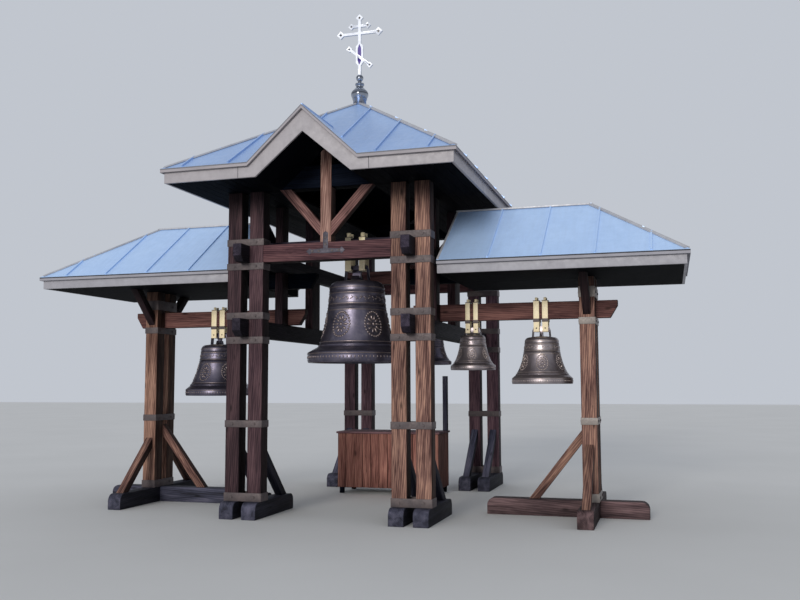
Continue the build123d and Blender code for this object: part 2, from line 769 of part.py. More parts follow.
wing_y0 = WING_Y - WING_HALF_DEPTH
wing_y1 = WING_Y + WING_HALF_DEPTH
board = FASCIA_THICKNESS
wing_fascia = [
    block(WING_INNER_X, WING_EAVE_X, wing_y0, wing_y0 + board, WING_SOFFIT_Z, WING_FASCIA_TOP),
    block(WING_INNER_X, WING_EAVE_X, wing_y1 - board, wing_y1, WING_SOFFIT_Z, WING_FASCIA_TOP),
    block(WING_EAVE_X - board, WING_EAVE_X, wing_y0 + board, wing_y1 - board, WING_SOFFIT_Z, WING_FASCIA_TOP),
]
save("right_wing_fascia", wing_fascia)
save("left_wing_fascia", [mirror_x(one) for one in wing_fascia])

# The gable boards stand inside the fascias, under the deck, with a notch over the roof beam.
gable = wing_underside & block(
    WING_INNER_X,
    WING_INNER_X + WING_GABLE_THICKNESS,
    wing_y0 + board,
    wing_y1 - board,
    WING_SOFFIT_Z,
    WING_RIDGE_Z,
)
gable -= block(0, WING_EAVE_X, near_face, far_face, 0, WING_SOFFIT_Z + WING_ROOF_BEAM_HEIGHT)
save("wing_gable_boards", [gable, mirror_x(gable)])

wing_soffit = block(
    WING_INNER_X + WING_GABLE_THICKNESS,
    WING_EAVE_X - board,
    wing_y0 + board,
    wing_y1 - board,
    WING_SOFFIT_Z,
    WING_SOFFIT_Z + SOFFIT_THICKNESS,
)
wing_soffit -= block(
    WING_INNER_X, WING_ROOF_BEAM_OUTER_X, near_face, far_face, WING_SOFFIT_Z, WING_RIDGE_Z
)
wing_soffit -= block(
    wing_post_x0, wing_post_x1, front_face, rear_face, WING_SOFFIT_Z, WING_RIDGE_Z
)
save("wing_soffits", [wing_soffit, mirror_x(wing_soffit)])


# Bells

def waist_radius(level, flare):
    # Outer radius at a level, both as parts of the bell's own size.
    return SHOULDER + flare * (math.exp(-level / WAIST_FALL) - math.exp(-SHOULDER_LEVEL / WAIST_FALL))


def bell_shell(radius, height, flare):
    # Section of a cast bell: upright sound bow, flared waist, round shoulder and a wall that thins upwards.
    def at(across, level):
        return (across * radius, level * height)

    def wall(first, last, inset):
        levels = [first + (last - first) * step / 4 for step in range(5)]
        return [at(waist_radius(level, flare) - inset, level) for level in levels]

    def arcs(points):
        return [ThreePointArc(*points[:3]), ThreePointArc(*points[2:])]

    outer = wall(WAIST_LEVEL, SHOULDER_LEVEL, 0)
    inner = wall(2 * WAIST_LEVEL, CROWN_LEVEL - 0.05, BELL_WALL)
    bow_inner = waist_radius(WAIST_LEVEL, flare) - BOW_INSET
    section = [
        Line(at(0.90, 0), at(0.985, 0)),
        Line(at(0.985, 0), at(1, 0.02)),
        Line(at(1, 0.02), at(1, BOW_LEVEL)),
        Line(at(1, BOW_LEVEL), outer[0]),
        *arcs(outer),
        ThreePointArc(outer[-1], at(0.525, 0.95), at(0.44, 0.98)),
        Line(at(0.44, 0.98), at(0.22, 1)),
        Line(at(0.22, 1), at(0, 1)),
        Line(at(0, 1), at(0, CROWN_LEVEL)),
        Line(at(0, CROWN_LEVEL), at(0.40, CROWN_LEVEL)),
        Line(at(0.40, CROWN_LEVEL), inner[-1]),
        *arcs(inner[::-1]),
        Line(inner[0], at(bow_inner, BOW_LEVEL)),
        Line(at(bow_inner, BOW_LEVEL), at(0.90, 0)),
    ]
    shell = revolve(Plane.XZ * make_face(section), Axis.Z, 360)
    for level, part in (
        (BOW_MOULDING_LEVEL, BOW_MOULDING),
        (LOW_LINE_LEVEL, LINE_MOULDING),
        (HIGH_LINE_LEVEL, LINE_MOULDING),
    ):
        size = part * radius
        r, z = at(waist_radius(level, flare), level)
        edge = r + 0.6 * size
        ring = [(r - size, z - size), (edge, z - size / 2), (edge, z + size / 2), (r - size, z + size)]
        shell += revolve(Plane.XZ * make_face(Polyline(*ring, close=True)), Axis.Z, 360)
    return shell


def crown(height, bar_z, spacing, width):
    # Ears cast on the bell: two side by side for the straps, and a pair with round eyes at right angles.
    rise = bar_z - height
    seat = 0.97 * height
    top = bar_z + CROWN_BAR_HEIGHT
    depth = CROWN_BAR_DEPTH / 2
    neck = (spacing - width) / 2 - CROWN_CLEARANCE
    half = (spacing + width) / 2 + CROWN_CLEARANCE + CROWN_LEG
    foot = half + CROWN_SPREAD * rise
    inside = half - CROWN_LEG
    outline = [(-foot, seat), (foot, seat), (half, bar_z), (inside, top), (-inside, top), (-half, bar_z)]
    ears = prism_y(outline, -depth, depth)
    for side in (-1, 1):
        window = [(neck, seat), (foot - CROWN_LEG, seat), (inside, bar_z), (neck, bar_z)]
        ears -= prism_y([(side * x, z) for x, z in window], -depth, depth)
    reach = CROSS_EAR * half
    cross_outline = [(-reach, seat), (reach, seat), (depth, bar_z), (depth, top), (-depth, top), (-depth, bar_z)]
    cross_ears = prism_x(cross_outline, -neck, neck)
    for side in (-1, 1):
        eye = Cylinder(EAR_EYE * rise, 4 * neck)
        cross_ears -= Pos(0, side * (reach + depth) / 4, height + rise / 2) * Rot(0, 90, 0) * eye
    return ears + cross_ears


def bell(place, sizes, hanger_z, straps):
    # Place: axis in X and Y, then the height of the lip. Sizes: lip radius, height and flare.
    radius, height, flare = sizes
    bar_z = hanger_z + HANGER_BOTTOM - place[2]
    return Pos(*place) * (bell_shell(radius, height, flare) + crown(height, bar_z, *straps))


def clapper(place, sizes):
    # Rod from the inside of the crown, with a ball at the height of the sound bow and a short tail.
    radius, height, _ = sizes
    top = CROWN_LEVEL * height
    ball_z = CLAPPER_LEVEL * height
    ball_radius = CLAPPER_BALL * radius
    tail = ball_z - 1.3 * ball_radius
    rod = Pos(0, 0, (top + tail) / 2) * Cylinder(0.04 * radius, top - tail)
    return Pos(*place) * (rod + Pos(0, 0, ball_z) * Sphere(ball_radius))


def hangers(x, beam, bottom_z, straps, nuts):
    # Two closed straps round a beam, each with a pair of nuts on top.
    y0, y1, beam_z, beam_top = beam
    spacing, width = straps
    nut_radius, nut_height = nuts
    skin = HANGER_THICKNESS
    pieces = []
    for side in (-1, 1):
        middle = x + side * spacing / 2
        x0 = middle - width / 2
        x1 = middle + width / 2
        outer = block(x0, x1, y0 - skin, y1 + skin, bottom_z, beam_top + HANGER_TOP)
        strap = outer - block(x0, x1, y0, y1, bottom_z + HANGER_BOTTOM, beam_top)
        for y in (y0 + nut_radius, y1 - nut_radius):
            nut = Cylinder(nut_radius, nut_height)
            strap += Pos(middle, y, beam_top + HANGER_TOP + nut_height / 2) * nut
        pieces.append(strap)
    return pieces


small_straps = (SMALL_HANGER_SPACING, SMALL_HANGER_WIDTH)
medium_straps = (MEDIUM_HANGER_SPACING, MEDIUM_HANGER_WIDTH)
left_straps = (LEFT_HANGER_SPACING, LEFT_HANGER_WIDTH)
big_straps = (BIG_HANGER_SPACING, BIG_HANGER_WIDTH)
small_nuts = (HANGER_NUT_RADIUS, HANGER_NUT_HEIGHT)
big_nuts = (BIG_NUT_RADIUS, BIG_NUT_HEIGHT)
half_beam = TOWER_BELL_BEAM_WIDTH / 2
big_beam = (-TOWER_BELL_Y - half_beam, -TOWER_BELL_Y + half_beam, TOWER_BELL_BEAM_Z, TOWER_BELL_BEAM_TOP)
rear_beam = (TOWER_BELL_Y - half_beam, TOWER_BELL_Y + half_beam, TOWER_BELL_BEAM_Z, TOWER_BELL_BEAM_TOP)
wing_beam_seat = (near_face, far_face, LOWER_BEAM_TOP, LOWER_BEAM_TOP + BEAM_HEIGHT)

big_place = (BIG_BELL_X, -TOWER_BELL_Y, BIG_BELL_LIP_Z)
big_sizes = (BIG_BELL_RADIUS, BIG_BELL_HEIGHT, BIG_BELL_FLARE)
rear_place = (REAR_BELL_X, TOWER_BELL_Y, REAR_BELL_LIP_Z)
rear_sizes = (REAR_BELL_RADIUS, REAR_BELL_HEIGHT, SMALL_BELL_FLARE)
save("big_bell", [bell(big_place, big_sizes, BIG_HANGER_Z, big_straps)])
save("rear_bell", [bell(rear_place, rear_sizes, REAR_HANGER_Z, small_straps)])
save("big_bell_hangers", hangers(BIG_BELL_X, big_beam, BIG_HANGER_Z, big_straps, big_nuts))
save("rear_bell_hangers", hangers(REAR_BELL_X, rear_beam, REAR_HANGER_Z, small_straps, small_nuts))

small_place = (SMALL_BELL_X, WING_Y, SMALL_BELL_LIP_Z)
medium_place = (MEDIUM_BELL_X, WING_Y, MEDIUM_BELL_LIP_Z)
left_place = (LEFT_BELL_X, WING_Y, LEFT_BELL_LIP_Z)
wing_bells = [
    ("small_right_bell", small_place, SMALL_BELL_RADIUS, SMALL_BELL_HEIGHT, small_straps),
    ("medium_right_bell", medium_place, MEDIUM_BELL_RADIUS, MEDIUM_BELL_HEIGHT, medium_straps),
    ("left_bell", left_place, LEFT_BELL_RADIUS, LEFT_BELL_HEIGHT, left_straps),
]
wing_hangers = []
clappers = [clapper(big_place, big_sizes), clapper(rear_place, rear_sizes)]
for name, place, radius, height, straps in wing_bells:
    sizes = (radius, height, SMALL_BELL_FLARE)
    save(name, [bell(place, sizes, WING_HANGER_Z, straps)])
    clappers.append(clapper(place, sizes))
    wing_hangers += hangers(place[0], wing_beam_seat, WING_HANGER_Z, straps, small_nuts)
save("bell_clappers", clappers)
save("wing_bell_hangers", wing_hangers)


# Finial and cross over the front end of the ridge

def ridge_point(radius, height):
    return (radius, RIDGE_Z + height)


finial_seat = -DRUM_RADIUS * FRONT_SLOPE
rim_top = DRUM_HEIGHT + DRUM_RIM_HEIGHT
neck = FINIAL_NECK_RADIUS
lower_outline = Polyline(
    ridge_point(0, finial_seat),
    ridge_point(DRUM_RADIUS, finial_seat),
    ridge_point(DRUM_RADIUS, DRUM_HEIGHT),
    ridge_point(DRUM_RIM_RADIUS, DRUM_HEIGHT),
    ridge_point(DRUM_RIM_RADIUS, rim_top),
    ridge_point(ONION_FOOT_RADIUS, rim_top),
)
bulge = ThreePointArc(
    ridge_point(ONION_FOOT_RADIUS, rim_top),
    ridge_point(ONION_RADIUS, ONION_HEIGHT),
    ridge_point(ONION_BROW_RADIUS, ONION_BROW_HEIGHT),
)
upper_outline = Polyline(
    ridge_point(ONION_BROW_RADIUS, ONION_BROW_HEIGHT),
    ridge_point(ONION_THROAT_RADIUS, ONION_THROAT_HEIGHT),
    ridge_point(ONION_THROAT_RADIUS, COLLAR_LOW),
    ridge_point(COLLAR_RADIUS, COLLAR_LOW),
    ridge_point(COLLAR_RADIUS, COLLAR_HIGH),
    ridge_point(neck, COLLAR_HIGH),
    ridge_point(neck, BALL_HEIGHT),
    ridge_point(0, BALL_HEIGHT),
    ridge_point(0, finial_seat),
)
finial = revolve(Plane.XZ * make_face([lower_outline, bulge, upper_outline]), Axis.Z, 360)
finial = Pos(0, WING_Y, 0) * finial + Pos(0, WING_Y, BALL_Z) * Sphere(BALL_RADIUS)
finial -= tower_roof_body(ROOF_COVER)
save("onion_finial", [finial])


def diamond(x, z, half, thickness):
    return prism_y(
        [(x - half, z), (x, z + half), (x + half, z), (x, z - half)],
        WING_Y - thickness / 2,
        WING_Y + thickness / 2,
    )


def upright_bar(x0, x1, z0, z1):
    return block(x0, x1, WING_Y - CROSS_THICKNESS / 2, WING_Y + CROSS_THICKNESS / 2, z0, z1)


def lozenge(margin, thickness):
    half = LOZENGE_HALF_WIDTH - margin
    low = BALL_Z + LOZENGE_LOW + margin
    high = BALL_Z + LOZENGE_HIGH - margin
    point = LOZENGE_POINT
    outline = [
        (0, low),
        (half, low + point),
        (half, high - point),
        (0, high),
        (-half, high - point),
        (-half, low + point),
    ]
    return prism_y(outline, WING_Y - thickness / 2, WING_Y + thickness / 2)


bar_z = BALL_Z + CROSS_BAR_HEIGHT
upper_bar_z = BALL_Z + UPPER_BAR_HEIGHT
foot_bar_z = BALL_Z + FOOT_BAR_HEIGHT
foot_rise = FOOT_BAR_HALF * math.tan(math.radians(FOOT_BAR_TILT))
arm_ends = [
    (0, BALL_Z + TOP_DIAMOND_HEIGHT, TOP_DIAMOND),
    (-CROSS_BAR_HALF, bar_z, CROSS_BAR_DIAMOND),
    (CROSS_BAR_HALF, bar_z, CROSS_BAR_DIAMOND),
    (-UPPER_BAR_HALF, upper_bar_z, UPPER_BAR_DIAMOND),
    (UPPER_BAR_HALF, upper_bar_z, UPPER_BAR_DIAMOND),
    (-FOOT_BAR_HALF, foot_bar_z + foot_rise, FOOT_BAR_DIAMOND),
    (FOOT_BAR_HALF, foot_bar_z - foot_rise, FOOT_BAR_DIAMOND),
]

ball_top = BALL_Z + math.sqrt(BALL_RADIUS ** 2 - 2 * (SHAFT_WIDTH / 2) ** 2)
cross = upright_bar(-SHAFT_WIDTH / 2, SHAFT_WIDTH / 2, ball_top, BALL_Z + TOP_DIAMOND_HEIGHT)
for z, half in ((bar_z, CROSS_BAR_HALF), (upper_bar_z, UPPER_BAR_HALF)):
    cross += upright_bar(-half, half, z - CROSS_BAR_WIDTH / 2, z + CROSS_BAR_WIDTH / 2)
cross += lozenge(0, CROSS_THICKNESS)

# The inlay and the dark middles of the diamonds lie a little deeper than the white faces.
cross -= lozenge(INLAY_MARGIN, CROSS_THICKNESS) - lozenge(INLAY_MARGIN, CROSS_THICKNESS - 2 * INLAY_DEPTH)
foot_bar_length = 2 * FOOT_BAR_HALF / math.cos(math.radians(FOOT_BAR_TILT))
foot_bar = Box(foot_bar_length, CROSS_THICKNESS, CROSS_BAR_WIDTH)
cross += Pos(0, WING_Y, foot_bar_z) * Rot(0, FOOT_BAR_TILT, 0) * foot_bar
for x, z, half in arm_ends:
    cross += diamond(x, z, half, CROSS_THICKNESS)
    stone = STONE_PART * half
    cross -= diamond(x, z, stone, CROSS_THICKNESS) - diamond(x, z, stone, CROSS_THICKNESS - 2 * INLAY_DEPTH)
cross -= Pos(0, WING_Y, BALL_Z) * Sphere(BALL_RADIUS)
save("cross", [cross])


# Ringer's stand: a planked box on short feet with one tall mast for the clapper ropes

stand_y1 = STAND_Y0 + STAND_DEPTH
frame_top = STAND_HEIGHT - STAND_TOP_THICKNESS
skin = STAND_PLANK_THICKNESS
frame_x0 = STAND_X0 + skin
frame_x1 = STAND_X1 - skin
frame_y0 = STAND_Y0 + skin
frame_y1 = stand_y1 - skin
stand_frame = []
for x in (frame_x0, frame_x1 - STAND_FRAME):
    for y in (frame_y0, frame_y1 - STAND_FRAME):
        stand_frame.append(block(x, x + STAND_FRAME, y, y + STAND_FRAME, 0, frame_top))
for z in (STAND_FOOT, frame_top - STAND_RAIL):
    for y in (frame_y0, frame_y1 - STAND_RAIL):
        stand_frame.append(block(frame_x0, frame_x1, y, y + STAND_RAIL, z, z + STAND_RAIL))
    for x in (frame_x0, frame_x1 - STAND_RAIL):
        stand_frame.append(block(x, x + STAND_RAIL, frame_y0, frame_y1, z, z + STAND_RAIL))
joined_frame = stand_frame[0]
for piece in stand_frame[1:]:
    joined_frame += piece
save("stand_frame", [joined_frame])


def plank_row(start, end):
    # Places of whole planks between two ends, with even gaps.
    count = round((end - start + STAND_PLANK_GAP) / (STAND_PLANK + STAND_PLANK_GAP))
    width = (end - start + STAND_PLANK_GAP) / count - STAND_PLANK_GAP
    return [(start + i * (width + STAND_PLANK_GAP), width) for i in range(count)]


planks = []
for x, width in plank_row(STAND_X0, STAND_X1):
    planks.append(block(x, x + width, STAND_Y0, STAND_Y0 + skin, STAND_FOOT, frame_top))
    planks.append(block(x, x + width, stand_y1 - skin, stand_y1, STAND_FOOT, frame_top))
for y, width in plank_row(frame_y0, frame_y1):
    planks.append(block(STAND_X0, STAND_X0 + skin, y, y + width, STAND_FOOT, frame_top))
    planks.append(block(STAND_X1 - skin, STAND_X1, y, y + width, STAND_FOOT, frame_top))
save("stand_planks", planks)

over = STAND_TOP_OVERHANG
mast_x0 = STAND_X1 - STAND_MAST
mast_y0 = stand_y1 - STAND_MAST
stand_top = block(
    STAND_X0 - over, STAND_X1 + over, STAND_Y0 - over, stand_y1 + over, frame_top, STAND_HEIGHT
)
save("stand_top", [stand_top])
save(
    "rope_mast",
    [block(mast_x0, mast_x0 + STAND_MAST, mast_y0, mast_y0 + STAND_MAST, STAND_HEIGHT, STAND_MAST_TOP)],
)
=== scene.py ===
import math
import random

import bmesh
import bpy
from mathutils import Matrix, Vector
from mathutils.bvhtree import BVHTree


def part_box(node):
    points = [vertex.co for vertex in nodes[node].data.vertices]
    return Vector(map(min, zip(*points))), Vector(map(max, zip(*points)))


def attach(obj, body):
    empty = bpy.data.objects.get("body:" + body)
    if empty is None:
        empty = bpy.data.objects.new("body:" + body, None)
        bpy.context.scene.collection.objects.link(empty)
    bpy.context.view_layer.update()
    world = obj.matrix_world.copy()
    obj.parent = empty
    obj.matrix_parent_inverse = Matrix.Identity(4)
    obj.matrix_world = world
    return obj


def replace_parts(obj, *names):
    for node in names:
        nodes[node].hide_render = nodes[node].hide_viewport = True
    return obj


# Looks of an open timber bell tower with two low wings, in metres.
# X runs along the wings, Y from front to rear, Z up from the ground.

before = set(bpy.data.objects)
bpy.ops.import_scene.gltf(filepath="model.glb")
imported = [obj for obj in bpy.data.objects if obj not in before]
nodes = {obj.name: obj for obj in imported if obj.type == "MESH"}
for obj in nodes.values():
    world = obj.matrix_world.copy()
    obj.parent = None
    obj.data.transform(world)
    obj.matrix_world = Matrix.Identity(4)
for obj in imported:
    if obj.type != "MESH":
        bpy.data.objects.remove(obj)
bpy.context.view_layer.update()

# Camera, solved from the straight lines of the tower
CAMERA_PLACE = (3.927, -12.150, 1.60)
CAMERA_FORWARD = (-0.28651808, 0.9534895, 0.0936225)
CAMERA_RIGHT = (0.95760241, 0.28807459, -0.00326516)
CAMERA_REACH = 300.0
SENSOR_WIDTH = 36.0
IMAGE_WIDTH = 800
FOCAL_PIXELS = 895.5

# Studio
STAGE_REACH = 60.0
SUN_FROM = (-0.10, -1.0, 0.27)
SUN_POWER = 1.75
SUN_SPREAD = 18                # degrees
SUN_COLOR = (1.0, 0.96, 0.90)
SKY_COLOR = (0.86, 0.91, 1.0, 1.0)
SKY_POWER = 0.62

# Roof covering
COVER = 0.045                  # deck and metal together
EDGE_LIMIT = 0.3               # upward part of a normal, below which a roof's face is a cut edge
GABLET_HALF_WIDTH = 0.648
WING_START = 1.45              # from the tower's middle to where a timber counts as a wing's
WING_RIDGE_END = 3.035
SEAM_END = 0.022               # how far the seams run past the fascias
SEAM_WIDTH = 0.020
SEAM_HEIGHT = 0.026
WING_SEAM_HEIGHT = 0.8 * SEAM_HEIGHT
SHORTEST_SEAM = 0.15
TOWER_SEAM_PITCH = 0.60
TOWER_SEAM_START = 0.28
WING_SEAM_PITCH = 0.61
WING_SEAM_START = 1.94
WING_SEAM_MARGIN = 0.1         # from a wing's end eave to where its long slopes have no more seams
CAP_END = 0.004                # how far the hip caps run past the fascias
CAP_WIDTH = 0.085
WING_CAP_WIDTH = 0.070
CAP_HEIGHT = 0.022
CAP_SINK = 0.012
VERGE_INSET = 0.012            # middle of the trim where a wing's roof ends at the tower
VERGE_WIDTH = 0.024
VERGE_HEIGHT = 0.030
VERGE_SINK = 0.020

# Boards and the joints of the fascias
BOARD_WIDTH = 0.120
BOARD_GAP = 0.004
JOINT_X = 0.80
JOINT_HALF_WIDTH = 0.003
JOINT_DEPTH = 0.0008
JOINT_RISE = 0.002

# Rounding of edges
TIMBER_EDGE = 0.006
FASCIA_EDGE = 0.003
BOARD_EDGE = 0.002
STRAP_EDGE = 0.0015
HANGER_EDGE = 0.002
CAP_EDGE = 0.004
WING_CAP_EDGE = 0.003

# Straps and bolts
BOLT_RADIUS = 0.014
BOLT_HEIGHT = 0.010
BOLT_TAPER = 0.94
BOLT_WASHER = 1.35             # its radius, as a part of the bolt's
BOLT_WASHER_RISE = 0.3         # its thickness, as a part of the bolt's height
POST_HALF = 0.092
STRAP_THICKNESS = 0.008
TEE_BOLT_RADIUS = 0.012
TEE_BOLT_HEIGHT = 0.008
TEE_BAR_HALF = 0.041
TEE_BOLTS_X = (-0.17, -0.085, 0.085, 0.17)
TEE_BOLTS_RISE = (0.08, 0.16)

# Clamps, pins and washers of the hangers
CLAMP_HEIGHT = 0.042
CLAMP_THICKNESS = 0.006
CLAMP_LAP = 0.008              # how far a clamp reaches up over its beam
CLAMP_MARGIN = 0.005
PIN_OVER_FOOT = 0.044
PIN_RADIUS = 0.007
PIN_SIDES = 8
STRAP_TOP = 0.014
WASHER_THICKNESS = 0.008
WASHER_MARGIN = 0.004
WASHER_INSET = 0.002

# Cross
INLAY_DEPTH = 0.005
FACING = 0.9                   # part of a normal along an axis, above which a face looks that way
PLACE_ERROR = 0.001
SQUARE_ERROR = 0.004

# Relief of the bells: levels are parts of the bell's height, sizes are parts of its lip's radius
SHOULDER_LEVEL = 0.98
CROWN_REACH = 0.42             # what lies nearer to the axis is the crown
LINE_LEVELS = (0.105, 0.245, 0.625, 0.70, 0.83, 0.90)
LINE_RISE = 0.010
BOW_LEVEL = 0.062
BOW_BEADS = 84
BOW_BEAD_SIZE = (0.030, 0.055, 0.008)
FRIEZE_LEVEL = 0.765
FRIEZE_LEAVES = 40
LEAF_SIZE = (0.095, 0.028, 0.010)
LEAF_LEAN = 0.65               # radians
BERRY_RISE = 0.036
BERRY_SIZE = (0.024, 0.024, 0.010)
PANEL_LEVEL = 0.45
PANELS = 6
CENTRE_SIZE = (0.070, 0.080, 0.022)
PETALS = 10
PETAL_REACH = (0.100, 0.130)
PETAL_SIZE = (0.115, 0.050, 0.020)
RIM_BEADS = 26
RIM_REACH = (0.185, 0.245)
RIM_BEAD_SIZE = (0.052, 0.052, 0.016)
DOME_SIDES = 8
DOME_RINGS = ((-0.5, 1.0), (0.3, 0.95), (0.8, 0.6))    # level and reach of each ring
RAY_START = 1.0                # distance from a bell's axis, outside every bell


# Shader building

class Shader:
    """A node material with its shader, and short ways to add nodes to it."""

    def __init__(self, name, roughness=0.6, metallic=0.0):
        self.material = bpy.data.materials.new(name)
        self.material.use_nodes = True
        self.tree = self.material.node_tree
        self.surface = self.tree.nodes["Principled BSDF"]
        self.surface.inputs["Roughness"].default_value = roughness
        self.surface.inputs["Metallic"].default_value = metallic

    def make(self, kind, inputs=None, **settings):
        node = self.tree.nodes.new(kind)
        for key, value in settings.items():
            setattr(node, key, value)
        for key, value in (inputs or {}).items():
            self.feed(node.inputs[key], value)
        return node

    def feed(self, socket, value):
        """Links a socket's value, or sets it when it is a constant."""
        if isinstance(value, bpy.types.NodeSocket):
            self.tree.links.new(value, socket)
        else:
            socket.default_value = value

    def place(self):
        return self.make("ShaderNodeNewGeometry").outputs["Position"]

    def split(self, vector):
        return self.make("ShaderNodeSeparateXYZ", {"Vector": vector}).outputs

    def facing(self, axis):
        return self.split(self.make("ShaderNodeNewGeometry").outputs["Normal"])[axis]

    def attribute(self, name, output):
        return self.make("ShaderNodeAttribute", attribute_name=name).outputs[output]

    def stretch(self, vector, scale):
        return self.make("ShaderNodeMapping", {"Vector": vector, "Scale": scale}).outputs["Vector"]

    def noise(self, vector, scale, detail=4.0, roughness=0.55, distortion=0.0):
        values = {
            "Vector": vector,
            "Scale": scale,
            "Detail": detail,
            "Roughness": roughness,
            "Distortion": distortion,
        }
        return self.make("ShaderNodeTexNoise", values).outputs["Fac"]

    def ramp(self, factor, stops):
        node = self.make("ShaderNodeValToRGB", {"Fac": factor})
        elements = node.color_ramp.elements
        while len(elements) < len(stops):
            elements.new(0.5)
        for element, (position, color) in zip(elements, stops):
            element.position = position
            element.color = (*color, 1.0)
        return node.outputs["Color"]

    def range(self, value, low, high, to_low=0.0, to_high=1.0):
        values = {
            "Value": value,
            "From Min": low,
            "From Max": high,
            "To Min": to_low,
            "To Max": to_high,
        }
        return self.make("ShaderNodeMapRange", values).outputs["Result"]

    def math(self, operation, first, second=0.0):
        return self.make("ShaderNodeMath", {0: first, 1: second}, operation=operation).outputs[0]

    def weighted(self, *parts):
        """Sum of values, each times its own weight."""
        total = None
        for value, weight in parts:
            share = self.math("MULTIPLY", value, weight)
            total = share if total is None else self.math("ADD", total, share)
        return total

    def mix(self, factor, first, second, blend="MIX"):
        """Mixed colours, where a constant colour is given as three numbers."""
        node = self.make("ShaderNodeMix", {0: factor}, data_type="RGBA", blend_type=blend)
        for index, color in ((6, first), (7, second)):
            self.feed(node.inputs[index], (*color, 1.0) if isinstance(color, tuple) else color)
        return node.outputs[2]

    def scaled(self, color, factor):
        grey = self.make("ShaderNodeCombineColor", {"Red": factor, "Green": factor, "Blue": factor})
        return self.mix(1.0, color, grey.outputs["Color"], "MULTIPLY")

    def finish(self, color, roughness=None, height=None, strength=0.3, distance=0.002):
        self.tree.links.new(color, self.surface.inputs["Base Color"])
        if roughness is not None:
            self.tree.links.new(roughness, self.surface.inputs["Roughness"])
        if height is not None:
            values = {"Height": height, "Strength": strength, "Distance": distance}
            bump = self.make("ShaderNodeBump", values)
            self.tree.links.new(bump.outputs["Normal"], self.surface.inputs["Normal"])
        return self.material


# Wood

SOFFIT_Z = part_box("tower_soffit")[0].z
WING_SOFFIT_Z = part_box("wing_soffits")[0].z


def eave_shade(shader, dark):
    """Painted shade: darkening of a timber's last half metre under the boarded eaves, lower down on the
    wings.
    """
    parts = shader.split(shader.place())
    on_wing = shader.math("GREATER_THAN", shader.math("ABSOLUTE", parts["X"]), WING_START)
    level = shader.range(on_wing, 0.0, 1.0, SOFFIT_Z, WING_SOFFIT_Z)
    return shader.range(shader.math("SUBTRACT", parts["Z"], level), -0.42, -0.02, 1.0, dark)


def growth_rings(shader, grain):
    """Wavy bands along the grain."""
    values = {
        "Vector": shader.stretch(grain, (0.6, 9.0, 9.0)),
        "Scale": 2.6,
        "Distortion": 6.0,
        "Detail": 3.0,
        "Detail Scale": 1.4,
        "Detail Roughness": 0.6,
    }
    return shader.make("ShaderNodeTexWave", values, bands_direction="DIAGONAL").outputs["Fac"]


def knot_shade(shader, grain):
    """Dark at knots, 1 elsewhere."""
    values = {"Vector": shader.stretch(grain, (2.6, 7.0, 7.0)), "Scale": 1.0}
    knots = shader.make("ShaderNodeTexVoronoi", values)
    return shader.range(knots.outputs["Distance"], 0.05, 0.16, 0.35, 1.0)


def drying_cracks(shader, grain):
    """0 in cracks along the grain, which come in patches, 1 elsewhere."""
    cracks = shader.noise(shader.stretch(grain, (0.9, 38.0, 38.0)), 1.0, 2.0, 0.4, 0.2)
    crack = shader.range(shader.math("ABSOLUTE", shader.math("SUBTRACT", cracks, 0.5)), 0.0, 0.014)
    patches = shader.noise(shader.stretch(grain, (1.5, 5.0, 5.0)), 1.0, 1.0)
    return shader.math("MAXIMUM", crack, shader.range(patches, 0.50, 0.62, 1.0, 0.0))


def painted_facing_light(shader, color, painted_front_light, painted_side_shade):
    """Painted light and shade by facing: lighter on the front, darker on the sides, the underside and the
    right.
    """
    front = shader.math("MULTIPLY", shader.facing("Y"), -1.0)
    color = shader.scaled(color, shader.range(front, -0.2, 0.9, painted_side_shade, painted_front_light))
    color = shader.scaled(color, shader.range(shader.facing("Z"), -0.9, -0.3, 0.3, 1.0))
    return shader.scaled(color, shader.range(shader.facing("X"), 0.3, 0.9, 1.0, 0.5))


def soiled(shader, color, broad):
    """Darker towards the ground, and stained in wide patches."""
    level = shader.split(shader.place())["Z"]
    uneven_level = shader.math("ADD", level, shader.range(broad, 0.3, 0.7, -0.12, 0.12))
    color = shader.scaled(color, shader.range(uneven_level, 0.0, 0.42, 0.55, 1.0))
    stain = shader.noise(shader.place(), 1.7, 3.0)
    return shader.scaled(color, shader.range(stain, 0.35, 0.65, 0.86, 1.10))


def timber(name, dark, middle, light, painted_front_light=1.25, painted_side_shade=0.45, painted_eave_shade=0.35, gloss=0.16):
    """Stained squared timber: fibres along each piece, knots and drying cracks, with painted light on front
    faces, painted shade on sides, undersides and right faces, and painted shade under the eaves.
    """
    shader = Shader(name, roughness=0.78)
    shader.surface.inputs["Specular IOR Level"].default_value = gloss
    grain = shader.attribute("grain", "Vector")
    tone = shader.attribute("tone", "Fac")
    broad = shader.noise(shader.stretch(grain, (1.3, 13.0, 13.0)), 1.0, 5.0, 0.6, 0.35)
    rings = growth_rings(shader, grain)
    fibre = shader.noise(shader.stretch(grain, (9.0, 240.0, 240.0)), 1.0, 2.0, 0.5)
    figure = shader.weighted((broad, 0.77), (rings, 0.13), (fibre, 0.10))
    color = shader.ramp(figure, [(0.34, dark), (0.49, middle), (0.63, light)])
    color = shader.scaled(color, knot_shade(shader, grain))
    crack = drying_cracks(shader, grain)
    color = shader.scaled(color, shader.range(crack, 0.0, 1.0, 0.30, 1.0))
    # Painted light on front faces, painted shade on sides, undersides and right faces.
    color = painted_facing_light(shader, color, painted_front_light, painted_side_shade)
    # Painted shade under the boarded eaves.
    if painted_eave_shade < 1.0:
        color = shader.scaled(color, eave_shade(shader, painted_eave_shade))
    color = shader.scaled(color, shader.range(tone, 0.0, 1.0, 0.80, 1.20))
    color = soiled(shader, color, broad)
    rough = shader.range(fibre, 0.3, 0.7, 0.62, 0.82)
    relief = shader.math("MULTIPLY", shader.weighted((rings, 0.6), (fibre, 0.4)), crack)
    return shader.finish(color, rough, relief, 0.55, 0.003)


